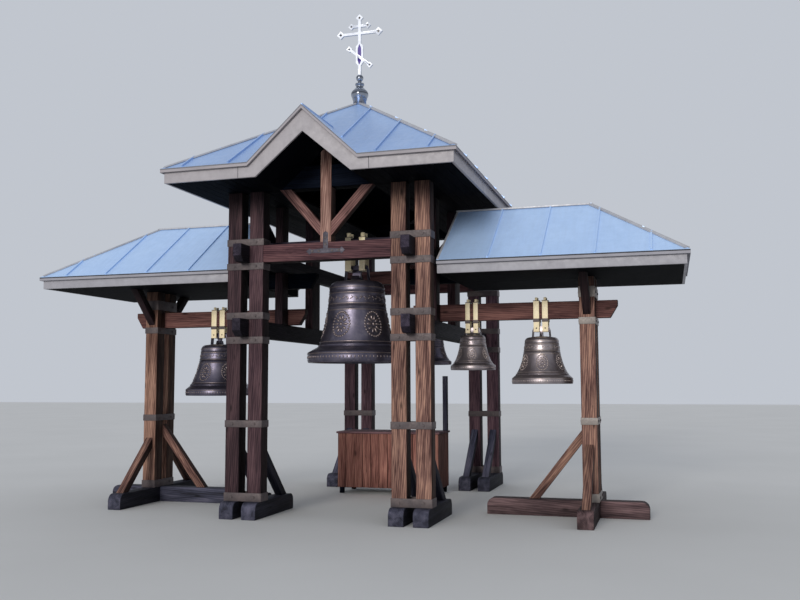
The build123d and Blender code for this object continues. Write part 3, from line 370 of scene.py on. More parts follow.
POST_WOOD = timber("post_wood", (0.036, 0.015, 0.013), (0.128, 0.067, 0.056), (0.300, 0.172, 0.126))
# Painted light: a lighter, sunlit copy of the post wood, for the left wing's posts.
SUNLIT_WING_POST_WOOD = timber(
    "sunlit_wing_post_wood", (0.070, 0.030, 0.022), (0.200, 0.108, 0.080), (0.370, 0.215, 0.155)
)
STRUT_WOOD = timber(
    "strut_wood", (0.050, 0.022, 0.021), (0.150, 0.076, 0.070), (0.270, 0.148, 0.130), painted_eave_shade=0.6
)
# Painted light: a lighter, sunlit copy of the post wood, for the king posts.
SUN_WOOD = timber(
    "sun_wood", (0.080, 0.038, 0.032), (0.180, 0.100, 0.082), (0.320, 0.198, 0.162), painted_eave_shade=1.0
)
# Painted shade: a darker, shaded copy of the post wood, for the front left pillar, knee braces and side
# studs.
SHADE_WOOD = timber("shade_wood", (0.013, 0.007, 0.010), (0.038, 0.020, 0.025), (0.074, 0.041, 0.046))
# Painted shade: a darker copy of the post wood, for the rear pillars.
REAR_SHADE_WOOD = timber("rear_shade_wood", (0.026, 0.013, 0.018), (0.066, 0.036, 0.048), (0.122, 0.068, 0.080))
BEAM_WOOD = timber("beam_wood", (0.045, 0.018, 0.018), (0.104, 0.046, 0.042), (0.175, 0.082, 0.070))
TIE_WOOD = timber("tie_wood", (0.030, 0.013, 0.017), (0.076, 0.034, 0.040), (0.135, 0.065, 0.068))
# Painted shade: a near-black copy of the beam wood, for the side beams and the big bell's beam, which lie in
# shade.
SHADED_BEAM_WOOD = timber(
    "shaded_beam_wood", (0.009, 0.007, 0.012), (0.020, 0.016, 0.027), (0.038, 0.030, 0.046)
)
SOLE_WOOD = timber("sole_wood", (0.022, 0.022, 0.034), (0.050, 0.052, 0.082), (0.095, 0.092, 0.130))
WING_SOLE_WOOD = timber(
    "wing_sole_wood", (0.042, 0.026, 0.030), (0.108, 0.066, 0.070), (0.185, 0.118, 0.122)
)
# Painted shade: near-black wood for the ceilings, rafters, plates and boards under the roofs, which lie in
# deep shade.
SHADE_BLACK_WOOD = timber(
    "shade_black_wood",
    (0.002, 0.003, 0.006),
    (0.004, 0.006, 0.012),
    (0.007, 0.010, 0.019),
    painted_front_light=1.0,
    painted_side_shade=0.8,
    painted_eave_shade=1.0,
    gloss=0.02,
)
STAND_WOOD = timber(
    "stand_wood",
    (0.095, 0.036, 0.030),
    (0.200, 0.082, 0.066),
    (0.320, 0.150, 0.115),
    painted_front_light=1.1,
    painted_side_shade=0.75,
)
STAND_TOP_WOOD = timber(
    "stand_top_wood",
    (0.060, 0.030, 0.036),
    (0.110, 0.056, 0.066),
    (0.180, 0.100, 0.110),
    painted_front_light=1.0,
    painted_side_shade=0.8,
)


# Sheet, paint, metal and enamel

def sheet_metal(name, color, streak):
    """Coated roofing sheet: slightly uneven sheen, dust and faint rain streaks down the slope."""
    shader = Shader(name, roughness=0.38, metallic=0.25)
    place = shader.place()
    clouds = shader.noise(place, 1.3, 3.0)
    dust = shader.noise(place, 9.0, 5.0, 0.65)
    streaks = shader.noise(shader.stretch(place, (26.0, 3.0, 3.0)), 1.0, 3.0)
    tone = shader.mix(shader.range(clouds, 0.35, 0.65), color, streak)
    tone = shader.scaled(tone, shader.range(streaks, 0.3, 0.7, 0.97, 1.03))
    tone = shader.scaled(tone, shader.range(dust, 0.35, 0.7, 1.02, 0.96))
    rough = shader.range(dust, 0.3, 0.7, 0.30, 0.50)
    waves = shader.noise(place, 2.2, 1.0, 0.4)
    return shader.finish(tone, rough, waves, 0.25, 0.02)


def painted(name, color, wear, roughness=0.55, metallic=0.0, scale=6.0):
    """Painted surface with soft variation, grime and a slightly rough skin."""
    shader = Shader(name, roughness=roughness, metallic=metallic)
    place = shader.place()
    clouds = shader.noise(place, scale, 4.0)
    grime = shader.noise(place, scale * 5.0, 5.0, 0.65)
    tone = shader.mix(shader.range(clouds, 0.35, 0.7), color, wear)
    tone = shader.scaled(tone, shader.range(grime, 0.3, 0.7, 1.05, 0.88))
    rough = shader.range(grime, 0.3, 0.7, roughness - 0.08, roughness + 0.12)
    return shader.finish(tone, rough, grime, 0.15, 0.001)


def bronze(name, dark, middle, light, rub):
    """Cast bell bronze: a cloudy patina over a fine sandy skin, rubbed bright in places."""
    shader = Shader(name, roughness=0.36, metallic=0.8)
    place = shader.place()
    clouds = shader.noise(place, 4.0, 5.0, 0.6)
    sand = shader.noise(place, 160.0, 3.0, 0.6)
    rubbed = shader.noise(place, 18.0, 4.0, 0.6, 0.4)
    tone = shader.ramp(clouds, [(0.34, dark), (0.52, middle), (0.68, light)])
    tone = shader.mix(shader.range(rubbed, 0.55, 0.75, 0.0, 0.45), tone, rub)
    rough = shader.range(rubbed, 0.3, 0.7, 0.42, 0.28)
    return shader.finish(tone, rough, sand, 0.3, 0.001)


def polished(name):
    """Bright polished metal with faint hand marks, and painted reflection: bands of a wide view, light and
    dark by its upward facing.
    """
    shader = Shader(name, roughness=0.12, metallic=1.0)
    marks = shader.noise(shader.place(), 30.0, 4.0)
    # Painted reflection: light and dark bands by the upward part of the normal.
    bands = shader.range(shader.facing("Z"), -1.0, 1.0)
    reflection_shades = (
        (0.28, 0.80),
        (0.44, 0.55),
        (0.50, 0.34),
        (0.56, 0.12),
        (0.65, 0.46),
        (0.74, 0.30),
        (0.88, 0.75),
    )
    stops = [(level, (0.90 * part, 0.98 * part, 1.15 * part)) for level, part in reflection_shades]
    tone = shader.scaled(shader.ramp(bands, stops), shader.range(marks, 0.3, 0.7, 0.54, 0.66))
    return shader.finish(tone, shader.range(marks, 0.3, 0.7, 0.08, 0.2), marks, 0.05, 0.001)


def enamel(name, color):
    """Smooth gloss enamel with slight unevenness."""
    shader = Shader(name, roughness=0.25, metallic=0.1)
    marks = shader.noise(shader.place(), 22.0, 3.0)
    tone = shader.scaled(color, shader.range(marks, 0.3, 0.7, 0.94, 1.04))
    return shader.finish(tone, shader.range(marks, 0.3, 0.7, 0.2, 0.34), marks, 0.05, 0.001)


ROOF_METAL = sheet_metal("roof_sheet", (0.31, 0.46, 0.75), (0.34, 0.49, 0.78))
WING_ROOF_METAL = sheet_metal("wing_roof_sheet", (0.44, 0.62, 0.92), (0.47, 0.65, 0.94))
EDGE_METAL = painted("folded_edge", (0.17, 0.17, 0.19), (0.13, 0.13, 0.15), 0.6)
# Dark paint for the fascia joints, and painted shadow on the cut edges of the wings' roof sheets.
JOINT_AND_SHADOW_EDGE = painted("dark_joint_and_shadow_edge", (0.020, 0.022, 0.030), (0.035, 0.036, 0.045), 0.7)
TRIM_METAL = painted("trim_sheet", (0.50, 0.50, 0.52), (0.42, 0.42, 0.45), 0.45, 0.2)
FASCIA_PAINT = painted("fascia_sheet", (0.40, 0.375, 0.395), (0.345, 0.325, 0.345), 0.5, 0.0, 3.0)
WING_FASCIA_PAINT = painted("wing_fascia_sheet", (0.355, 0.35, 0.385), (0.31, 0.305, 0.34), 0.5, 0.0, 3.0)
STRAP_IRON = painted("strap_paint", (0.070, 0.056, 0.060), (0.11, 0.085, 0.085), 0.55, 0.3, 9.0)
TEE_IRON = painted("tee_paint", (0.042, 0.038, 0.055), (0.070, 0.062, 0.085), 0.5, 0.3, 9.0)
PALE_IRON = painted("worn_zinc", (0.27, 0.24, 0.22), (0.20, 0.175, 0.165), 0.5, 0.3, 9.0)
CLAPPER_IRON = painted("clapper_iron", (0.05, 0.045, 0.055), (0.09, 0.075, 0.075), 0.5, 0.6, 12.0)
GILT_PAINT = painted("gilt_paint", (0.99, 0.84, 0.53), (0.94, 0.80, 0.55), 0.42, 0.0, 12.0)
BRONZE = bronze(
    "bell_patina",
    (0.068, 0.062, 0.090),
    (0.110, 0.100, 0.138),
    (0.164, 0.148, 0.185),
    (0.25, 0.22, 0.23),
)
RELIEF_BRONZE = bronze(
    "relief_patina",
    (0.150, 0.120, 0.125),
    (0.210, 0.170, 0.170),
    (0.290, 0.235, 0.225),
    (0.40, 0.33, 0.29),
)
# Painted light: lighter copies of the bell bronze and its relief, for the two right wing bells, which stand
# in sunlight.
SUNLIT_BRONZE = bronze(
    "sunlit_patina",
    (0.190, 0.162, 0.180),
    (0.280, 0.245, 0.262),
    (0.375, 0.332, 0.340),
    (0.49, 0.41, 0.37),
)
SUNLIT_RELIEF = bronze(
    "sunlit_relief",
    (0.300, 0.250, 0.240),
    (0.420, 0.350, 0.330),
    (0.530, 0.450, 0.410),
    (0.64, 0.54, 0.46),
)
POLISHED = polished("polished_metal")
WHITE_ENAMEL = enamel("white_enamel", (0.70, 0.73, 0.80))
VIOLET_ENAMEL = enamel("violet_enamel", (0.030, 0.004, 0.20))
DARK_STONE = enamel("dark_stone", (0.045, 0.036, 0.028))


# Mesh helpers

def islands(bm):
    """Groups of joined vertices, one for each solid."""
    bm.verts.ensure_lookup_table()
    seen = set()
    groups = []
    for first in bm.verts:
        if first.index in seen:
            continue
        seen.add(first.index)
        group = [first]
        for vertex in group:
            for edge in vertex.link_edges:
                other = edge.other_vert(vertex)
                if other.index not in seen:
                    seen.add(other.index)
                    group.append(other)
        groups.append(group)
    return groups


def lay_grain(bm, seed):
    """Stores each piece's own coordinates, along its length first, and a tone of its own."""
    choice = random.Random(seed)
    grain = bm.verts.layers.float_vector.new("grain")
    tone = bm.verts.layers.float.new("tone")
    bm.verts.index_update()
    for group in islands(bm):
        longest = max((e for v in group for e in v.link_edges), key=lambda e: e.calc_length())
        along = (longest.verts[1].co - longest.verts[0].co).normalized()
        helper = Vector((0, 0, 1)) if abs(along.z) < 0.7 else Vector((0, 1, 0))
        across = along.cross(helper).normalized()
        third = along.cross(across)
        start = Vector((choice.uniform(0, 40), choice.uniform(0, 40), choice.uniform(0, 40)))
        level = choice.random()
        for vertex in group:
            local = Vector((vertex.co.dot(along), vertex.co.dot(across), vertex.co.dot(third)))
            vertex[grain] = local + start
            vertex[tone] = level


def add_object(name, bm, material, smooth_angle=35):
    """Turns a bmesh into a piece that rides on the one body."""
    mesh = bpy.data.meshes.new(name)
    bmesh.ops.recalc_face_normals(bm, faces=bm.faces)
    bm.to_mesh(mesh)
    bm.free()
    mesh.materials.append(material)
    for polygon in mesh.polygons:
        polygon.use_smooth = True
    mesh.set_sharp_from_angle(angle=math.radians(smooth_angle))
    piece = bpy.data.objects.new(name, mesh)
    bpy.context.scene.collection.objects.link(piece)
    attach(piece, "root")
    return piece


def clean_copy(node, curved=False):
    """The node's shape as a clean bmesh, its flat faces whole again."""
    bm = bmesh.new()
    bm.from_mesh(nodes[node].data)
    bmesh.ops.remove_doubles(bm, verts=bm.verts, dist=0.0002)
    if not curved:
        bmesh.ops.dissolve_limit(bm, angle_limit=math.radians(1.0), verts=bm.verts, edges=bm.edges)
    return bm


def corners(vertices):
    """Lowest and highest corner of the box round some vertices."""
    low = Vector([min(v.co[i] for v in vertices) for i in range(3)])
    high = Vector([max(v.co[i] for v in vertices) for i in range(3)])
    return low, high


def soften(bm, width, segments=2):
    """Rounds every sharp edge a little, as planed timber and bent iron have."""
    sharp = [e for e in bm.edges if len(e.link_faces) == 2 and e.calc_face_angle(0.0) > math.radians(25)]
    bmesh.ops.bevel(
        bm, geom=sharp, offset=width, segments=segments, profile=0.6, affect="EDGES", clamp_overlap=True
    )


def dress(node, material, width):
    """A copy of a CAD node with grain and edges rounded by a width, in place of the plain one."""
    bm = clean_copy(node)
    if width:
        soften(bm, width)
    lay_grain(bm, node)
    piece = add_object(node + "_dressed", bm, material)
    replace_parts(piece, node)
    return piece


def dress_split(node, material, other, width, chosen):
    """A dressed copy whose chosen faces have a material of their own."""
    piece = dress(node, material, width)
    piece.data.materials.append(other)
    for polygon in piece.data.polygons:
        if chosen(polygon):
            polygon.material_index = 1


def is_edge(polygon):
    """Faces steeper than a roof are the cut edges of its sheet."""
    return abs(polygon.normal.z) < EDGE_LIMIT


def is_left(polygon):
    """Faces of the left wing, on a node that both wings share."""
    return polygon.center.x < 0


def add_box(bm, low, high):
    """A box between two corners."""
    size = Vector(high) - Vector(low)
    middle = (Vector(high) + Vector(low)) / 2
    matrix = Matrix.Translation(middle) @ Matrix.Diagonal((*size, 1.0))
    bmesh.ops.create_cube(bm, size=1.0, matrix=matrix)


def add_bar(bm, start, end, up, width, height, sink=0.004):
    """A straight bar from one point to another, lying on a surface whose normal is up."""
    start, end, up = Vector(start), Vector(end), Vector(up).normalized()
    along = end - start
    across = along.cross(up).normalized()
    basis = Matrix((along.normalized(), across, up)).transposed().to_4x4()
    middle = (start + end) / 2 + up * (height / 2 - sink)
    matrix = Matrix.Translation(middle) @ basis @ Matrix.Diagonal((along.length, width, height, 1.0))
    bmesh.ops.create_cube(bm, size=1.0, matrix=matrix)


def add_bolt(bm, place, normal, radius=BOLT_RADIUS, height=BOLT_HEIGHT, sides=6):
    """A flat-sided head on a surface, with a round washer under it."""
    normal = Vector(normal).normalized()
    turn = normal.to_track_quat("Z", "Y").to_matrix().to_4x4()
    seat = height * BOLT_WASHER_RISE
    for size, low, high, count in ((radius * BOLT_WASHER, 0.0, seat, 16), (radius, seat, height, sides)):
        middle = Vector(place) + normal * (low + high) / 2
        bmesh.ops.create_cone(
            bm,
            cap_ends=True,
            segments=count,
            radius1=size,
            radius2=size * BOLT_TAPER,
            depth=high - low,
            matrix=Matrix.Translation(middle) @ turn,
        )


# Timber

TIMBER_NODES = {
    "front_left_pillar": (SHADE_WOOD, "stained_timber"),
    "front_right_pillar": (POST_WOOD, "stained_timber"),
    "rear_left_pillar": (REAR_SHADE_WOOD, "stained_timber"),
    "rear_right_pillar": (REAR_SHADE_WOOD, "stained_timber"),
    "wing_knee_braces": (SHADE_WOOD, "stained_timber"),
    "side_frame_studs": (SHADE_WOOD, "stained_timber"),
    "king_posts": (SUN_WOOD, "stained_timber"),
    "raking_struts": (STRUT_WOOD, "stained_timber"),
    "tower_foot_braces": (SOLE_WOOD, "stained_timber"),
    "wing_foot_braces": (POST_WOOD, "stained_timber"),
    "tower_sole_beams": (SOLE_WOOD, "stained_timber"),
    "lower_side_beams": (SHADED_BEAM_WOOD, "beam_timber"),
    "upper_side_beams": (SHADED_BEAM_WOOD, "beam_timber"),
    "tie_beams": (TIE_WOOD, "beam_timber"),
    "big_bell_beam": (SHADED_BEAM_WOOD, "beam_timber"),
    "rear_bell_beam": (BEAM_WOOD, "beam_timber"),
    "wing_bell_beams": (BEAM_WOOD, "beam_timber"),
    "wing_roof_beams": (SHADE_BLACK_WOOD, "beam_timber"),
    "front_and_rear_plates": (SHADE_BLACK_WOOD, "beam_timber"),
    "side_plates": (SHADE_BLACK_WOOD, "beam_timber"),
    "tower_rafters": (SHADE_BLACK_WOOD, "beam_timber"),
    "gablet_ridge_beams": (SHADE_BLACK_WOOD, "beam_timber"),
    "stand_planks": (STAND_WOOD, "stand_boards"),
    "stand_top": (STAND_TOP_WOOD, "dark_boards"),
    "stand_frame": (SHADE_BLACK_WOOD, "dark_boards"),
    "rope_mast": (SOLE_WOOD, "dark_boards"),
}
SMALL_EDGES = {"stand_planks": 0.003, "stand_top": 0.004, "stand_frame": 0.003, "tower_rafters": 0.003}

for name, (wood, slot) in TIMBER_NODES.items():
    dress(name, wood, SMALL_EDGES.get(name, TIMBER_EDGE))
# The left wing's posts take the sunlit copy of the post wood, as painted light.
dress_split("wing_posts", POST_WOOD, SUNLIT_WING_POST_WOOD, TIMBER_EDGE, is_left)
dress_split("wing_sole_beams", WING_SOLE_WOOD, SOLE_WOOD, TIMBER_EDGE, is_left)


# Boarded undersides

def dress_soffit(node):
    """Boards side by side along X in place of each part of a flat ceiling, with gaps between them."""
    bm = bmesh.new()
    source = clean_copy(node)
    for group in islands(source):
        low, high = corners(group)
        count = max(1, round((high.x - low.x) / BOARD_WIDTH))
        pitch = (high.x - low.x) / count
        for index in range(count):
            left = low.x + index * pitch + BOARD_GAP / 2
            right = low.x + (index + 1) * pitch - BOARD_GAP / 2
            add_box(bm, (left, low.y, low.z), (right, high.y, high.z))
    source.free()
    soften(bm, BOARD_EDGE, 1)
    lay_grain(bm, node)
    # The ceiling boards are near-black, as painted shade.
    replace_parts(add_object(node + "_boards", bm, SHADE_BLACK_WOOD), node)


dress_soffit("tower_soffit")
for name in ("wing_soffits", "gablet_ceilings"):
    dress(name, SHADE_BLACK_WOOD, 0.0)


# Slopes of the tower's roof

fascia_low, fascia_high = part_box("front_and_rear_fascias")
side_fascia_low, side_fascia_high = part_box("side_fascias")
half_width = fascia_high.x
half_depth = fascia_high.y
eave_z = side_fascia_high.z + COVER
ridge_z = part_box("tower_roof_metal")[1].z
ridge_half = -sum(corner.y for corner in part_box("cross")) / 2
side_slope = (ridge_z - eave_z) / half_width
front_slope = (ridge_z - eave_z) / (half_depth - ridge_half)
gablet_peak = fascia_high.z + COVER
gablet_slope = (gablet_peak - eave_z) / GABLET_HALF_WIDTH


def front_z(y):
    return eave_z + (half_depth - abs(y)) * front_slope


def side_z(x):
    return eave_z + (half_width - abs(x)) * side_slope


def hip_x(y):
    """Where a side slope meets the front slope or the ridge."""
    if abs(y) <= ridge_half:
        return 0.0
    return half_width - (half_depth - abs(y)) * front_slope / side_slope


def hip_y(x):
    """Where the front slope meets a side slope."""
    return half_depth - (half_width - abs(x)) * side_slope / front_slope


def valley_y(x):
    """Where the front slope comes out from under the gablet."""
    return half_depth - max(0.0, gablet_peak - gablet_slope * abs(x) - eave_z) / front_slope


# Standing seams and edge trims of the tower's roof

def add_front_seams(bm, side_y):
    """Seams of the front or rear slope, and of its gablet's ridge."""
    normal = Vector((0, side_y * front_slope, 1))
    left_count = int((half_width + TOWER_SEAM_START) / TOWER_SEAM_PITCH)
    right_count = int((half_width - TOWER_SEAM_START) / TOWER_SEAM_PITCH)
    for index in range(-left_count, right_count + 1):
        x = TOWER_SEAM_START + index * TOWER_SEAM_PITCH
        low_y = valley_y(x) if abs(x) < GABLET_HALF_WIDTH else half_depth + SEAM_END
        high_y = hip_y(x)
        if low_y - high_y > SHORTEST_SEAM:
            start = (x, side_y * low_y, front_z(low_y))
            end = (x, side_y * high_y, front_z(high_y))
            add_bar(bm, start, end, normal, SEAM_WIDTH, SEAM_HEIGHT)
    start = (0, side_y * (half_depth + SEAM_END), gablet_peak)
    end = (0, side_y * valley_y(0), gablet_peak)
    add_bar(bm, start, end, (0, 0, 1), SEAM_WIDTH, SEAM_HEIGHT, SEAM_HEIGHT / 2)


def add_side_seams(bm, side_x):
    normal = Vector((side_x * side_slope, 0, 1))
    low_x = half_width + SEAM_END
    count = int(half_depth / TOWER_SEAM_PITCH)
    for index in range(-count, count + 1):
        y = index * TOWER_SEAM_PITCH
        start = (side_x * low_x, y, side_z(low_x))
        end = (side_x * hip_x(y), y, side_z(hip_x(y)))
        add_bar(bm, start, end, normal, SEAM_WIDTH, SEAM_HEIGHT)


def add_tower_caps():
    """Folded caps over the ridge and the four hips."""
    caps = bmesh.new()
    ends = (0, -ridge_half, ridge_z), (0, ridge_half, ridge_z)
    add_bar(caps, *ends, (0, 0, 1), CAP_WIDTH, CAP_HEIGHT, CAP_SINK)
    corner_x = half_width + CAP_END
    corner_y = half_depth + CAP_END
    corner_z = min(side_z(corner_x), front_z(corner_y))
    for side_x in (-1, 1):
        for side_y in (-1, 1):
            top = (0, side_y * ridge_half, ridge_z)
            corner = (side_x * corner_x, side_y * corner_y, corner_z)
            normal = Vector((side_x * side_slope, side_y * front_slope, 2))
            add_bar(caps, top, corner, normal, CAP_WIDTH, CAP_HEIGHT, CAP_SINK)
    soften(caps, CAP_EDGE)
    add_object("tower_hip_caps", caps, TRIM_METAL)


tower_seams = bmesh.new()
for side_y in (-1, 1):
    add_front_seams(tower_seams, side_y)
for side_x in (-1, 1):
    add_side_seams(tower_seams, side_x)
add_object("tower_roof_seams", tower_seams, ROOF_METAL)
add_tower_caps()

dress_split("tower_roof_metal", ROOF_METAL, EDGE_METAL, 0.0, is_edge)
# The wings' sheet edges are painted near-black, as the shadow line over their fascias.
dress_split("right_wing_roof_metal", WING_ROOF_METAL, JOINT_AND_SHADOW_EDGE, 0.0, is_edge)
dress_split("left_wing_roof_metal", WING_ROOF_METAL, JOINT_AND_SHADOW_EDGE, 0.0, is_edge)


# Slopes of the wings' roofs, measured on the right wing

wing_low, wing_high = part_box("right_wing_roof_metal")
wing_fascia_low, wing_fascia_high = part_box("right_wing_fascia")
wing_y = (wing_low.y + wing_high.y) / 2
wing_half = (wing_fascia_high.y - wing_fascia_low.y) / 2
wing_eave_x = wing_fascia_high.x
wing_eave_z = wing_fascia_high.z + COVER
wing_ridge_z = wing_high.z
wing_slope = (wing_ridge_z - wing_eave_z) / wing_half
wing_end_slope = (wing_ridge_z - wing_eave_z) / (wing_eave_x - WING_RIDGE_END)


def wing_z(offset):
    """Height of a long slope, at an offset from the wing's middle."""
    return wing_eave_z + (wing_half - abs(offset)) * wing_slope


def wing_end_z(x):
    return wing_eave_z + (wing_eave_x - x) * wing_end_slope


# Decks under the roof metal

# Painted shade: the near-black colour of the decks inside the roofs.
DECK_SHADE = (0.004, 0.006, 0.012)


def deck_boards(name, reach_x, low_y, high_y, paint):
    """Boards inside a roof, near-black as painted shade, and painted where they run out past its fascias."""
    shader = Shader(name, roughness=0.75)
    shader.surface.inputs["Specular IOR Level"].default_value = 0.05
    parts = shader.split(shader.place())
    past_x = shader.math("GREATER_THAN", shader.math("ABSOLUTE", parts["X"]), reach_x)
    past_front = shader.math("LESS_THAN", parts["Y"], low_y)
    past_rear = shader.math("GREATER_THAN", parts["Y"], high_y)
    outside = shader.math("MAXIMUM", past_x, shader.math("MAXIMUM", past_front, past_rear))
    clouds = shader.noise(shader.place(), 3.0, 4.0)
    tone = shader.mix(outside, DECK_SHADE, paint)
    tone = shader.scaled(tone, shader.range(clouds, 0.3, 0.7, 0.88, 1.08))
    return shader.finish(tone, shader.range(clouds, 0.3, 0.7, 0.65, 0.85), clouds, 0.15, 0.001)


TOWER_DECK = deck_boards("tower_deck", half_width, -half_depth, half_depth, (0.37, 0.345, 0.365))
WING_DECK = deck_boards(
    "wing_deck", wing_eave_x, wing_fascia_low.y, wing_fascia_high.y, (0.33, 0.325, 0.36)
)
dress("tower_roof_deck", TOWER_DECK, 0.0)
dress("wing_roof_decks", WING_DECK, 0.0)


# Standing seams and edge trims of the wings' roofs

def add_wing_side_seams(bm, side_x, side_y):
    """Seams of one long slope."""
    normal = Vector((0, side_y * wing_slope, 1))
    low = wing_half + SEAM_END
    x = WING_SEAM_START
    while x < wing_eave_x - WING_SEAM_MARGIN:
        top = 0.0
        if x > WING_RIDGE_END:
            top = wing_half - (wing_eave_x - x) * wing_end_slope / wing_slope
        start = (side_x * x, wing_y + side_y * low, wing_z(low))
        end = (side_x * x, wing_y + side_y * top, wing_z(top))
        add_bar(bm, start, end, normal, SEAM_WIDTH, WING_SEAM_HEIGHT)
        x += WING_SEAM_PITCH


def add_wing_end_seams(bm, side_x):
    """Seams of the hipped end."""
    normal = Vector((side_x * wing_end_slope, 0, 1))
    low = wing_eave_x + SEAM_END
    for index in (-1, 0, 1):
        offset = index * WING_SEAM_PITCH
        top = WING_RIDGE_END + abs(offset) * wing_slope / wing_end_slope
        start = (side_x * low, wing_y + offset, wing_end_z(low))
        end = (side_x * top, wing_y + offset, wing_end_z(top))
        add_bar(bm, start, end, normal, SEAM_WIDTH, WING_SEAM_HEIGHT)


def add_wing_side_caps(bm, side_x, side_y):
    """The cap over one hip, and the trim of the edge at the tower."""
    corner_x = wing_eave_x + CAP_END
    corner_y = wing_half + CAP_END
    top = (side_x * WING_RIDGE_END, wing_y, wing_ridge_z)
    corner = (side_x * corner_x, wing_y + side_y * corner_y, wing_z(corner_y))
    normal = Vector((side_x * wing_end_slope, side_y * wing_slope, 2))
    add_bar(bm, top, corner, normal, WING_CAP_WIDTH, CAP_HEIGHT, CAP_SINK)
    verge_x = side_x * (wing_low.x + VERGE_INSET)
    low = wing_half + SEAM_END
    start = (verge_x, wing_y + side_y * low, wing_z(low))
    end = (verge_x, wing_y, wing_ridge_z)
    normal = Vector((0, side_y * wing_slope, 1))
    add_bar(bm, start, end, normal, VERGE_WIDTH, VERGE_HEIGHT, VERGE_SINK)


wing_seams = bmesh.new()
wing_caps = bmesh.new()
for side_x in (-1, 1):
    for side_y in (-1, 1):
        add_wing_side_seams(wing_seams, side_x, side_y)
        add_wing_side_caps(wing_caps, side_x, side_y)
    add_wing_end_seams(wing_seams, side_x)
    ridge_ends = (side_x * wing_low.x, wing_y, wing_ridge_z), (side_x * WING_RIDGE_END, wing_y, wing_ridge_z)
    add_bar(wing_caps, *ridge_ends, (0, 0, 1), WING_CAP_WIDTH, CAP_HEIGHT, CAP_SINK)
soften(wing_caps, WING_CAP_EDGE)
add_object("wing_roof_seams", wing_seams, WING_ROOF_METAL)
add_object("wing_hip_caps", wing_caps, TRIM_METAL)


# Fascias and gable boards

def add_fascia_joints():
    """Thin dark lines where the sheets of the front and rear fascias meet."""
    joints = bmesh.new()
    for face_y in (fascia_low.y, fascia_high.y):
        back = min(face_y, face_y - JOINT_DEPTH)
        front = max(face_y, face_y + JOINT_DEPTH)
        for x in (JOINT_X, -JOINT_X):
            low = (x - JOINT_HALF_WIDTH, back, side_fascia_low.z + JOINT_RISE)
            high = (x + JOINT_HALF_WIDTH, front, side_fascia_high.z)
            add_box(joints, low, high)
    add_object("fascia_joints", joints, JOINT_AND_SHADOW_EDGE)


for name in ("front_and_rear_fascias", "side_fascias"):
    dress(name, FASCIA_PAINT, FASCIA_EDGE)
add_fascia_joints()
for name in ("left_wing_fascia", "right_wing_fascia"):
    dress(name, WING_FASCIA_PAINT, FASCIA_EDGE)
dress("wing_gable_boards", SHADE_BLACK_WOOD, FASCIA_EDGE)


# Iron straps and their bolts

def add_strap_bolts(bm, low, high):
    """Two bolts on each long face of a strap, in line with the middles of the posts."""
    middle_z = (low.z + high.z) / 2
    reach = POST_HALF + STRAP_THICKNESS
    if high.x - low.x > high.y - low.y:
        for x in (low.x + reach, high.x - reach):
            add_bolt(bm, (x, low.y, middle_z), (0, -1, 0))
            add_bolt(bm, (x, high.y, middle_z), (0, 1, 0))
    else:
        for y in (low.y + reach, high.y - reach):
            add_bolt(bm, (low.x, y, middle_z), (-1, 0, 0))
            add_bolt(bm, (high.x, y, middle_z), (1, 0, 0))


def add_tee_bolts(bm):
    """Bolts along the bar and up the stem of the tee straps."""
    low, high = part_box("tee_straps")
    bar_z = low.z + TEE_BAR_HALF
    places = [(x, bar_z) for x in TEE_BOLTS_X] + [(0, bar_z + rise) for rise in TEE_BOLTS_RISE]
    for side_y, face in ((-1, low.y), (1, high.y)):
        for x, z in places:
            add_bolt(bm, (x, face, z), (0, side_y, 0), TEE_BOLT_RADIUS, TEE_BOLT_HEIGHT)


for name in ("front_pillar_straps", "rear_pillar_straps"):
    dress(name, STRAP_IRON, STRAP_EDGE)
dress("tee_straps", TEE_IRON, STRAP_EDGE)
dress_split("wing_post_straps", PALE_IRON, STRAP_IRON, STRAP_EDGE, is_left)

bolts = bmesh.new()
for name in ("front_pillar_straps", "rear_pillar_straps", "wing_post_straps"):
    source = clean_copy(name)
    for group in islands(source):
        add_strap_bolts(bolts, *corners(group))
    source.free()
add_tee_bolts(bolts)
add_object("strap_bolts", bolts, STRAP_IRON)


# Relief of the bells

def add_hoop(bm, centre, radius, rise, segments=72, sides=6):
    """A thin round line about a vertical axis."""
    rings = []
    for index in range(segments):
        turn = 2 * math.pi * index / segments
        ring = []
        for side in range(sides):
            lean = 2 * math.pi * side / sides
            reach = radius + rise * math.cos(lean)
            point = (
                centre.x + reach * math.cos(turn),
                centre.y + reach * math.sin(turn),
                centre.z + rise * math.sin(lean),
            )
            ring.append(bm.verts.new(point))
        rings.append(ring)
    for index, ring in enumerate(rings):
        following = rings[(index + 1) % segments]
        for side in range(sides):
            turned = (side + 1) % sides
            bm.faces.new((ring[side], following[side], following[turned], ring[turned]))


def add_dome(bm, matrix):
    """A closed low dome of unit size, placed by a matrix."""
    rings = []
    for level, reach in DOME_RINGS:
        ring = []
        for side in range(DOME_SIDES):
            angle = 2 * math.pi * side / DOME_SIDES
            point = Vector((reach * math.cos(angle), reach * math.sin(angle), level))
            ring.append(bm.verts.new(matrix @ point))
        rings.append(ring)
    bm.faces.new(tuple(reversed(rings[0])))
    for lower, upper in zip(rings, rings[1:]):
        for side in range(DOME_SIDES):
            turned = (side + 1) % DOME_SIDES
            bm.faces.new((lower[side], lower[turned], upper[turned], upper[side]))
    top = bm.verts.new(matrix @ Vector((0, 0, 1)))
    for side in range(DOME_SIDES):
        bm.faces.new((rings[-1][side], rings[-1][(side + 1) % DOME_SIDES], top))


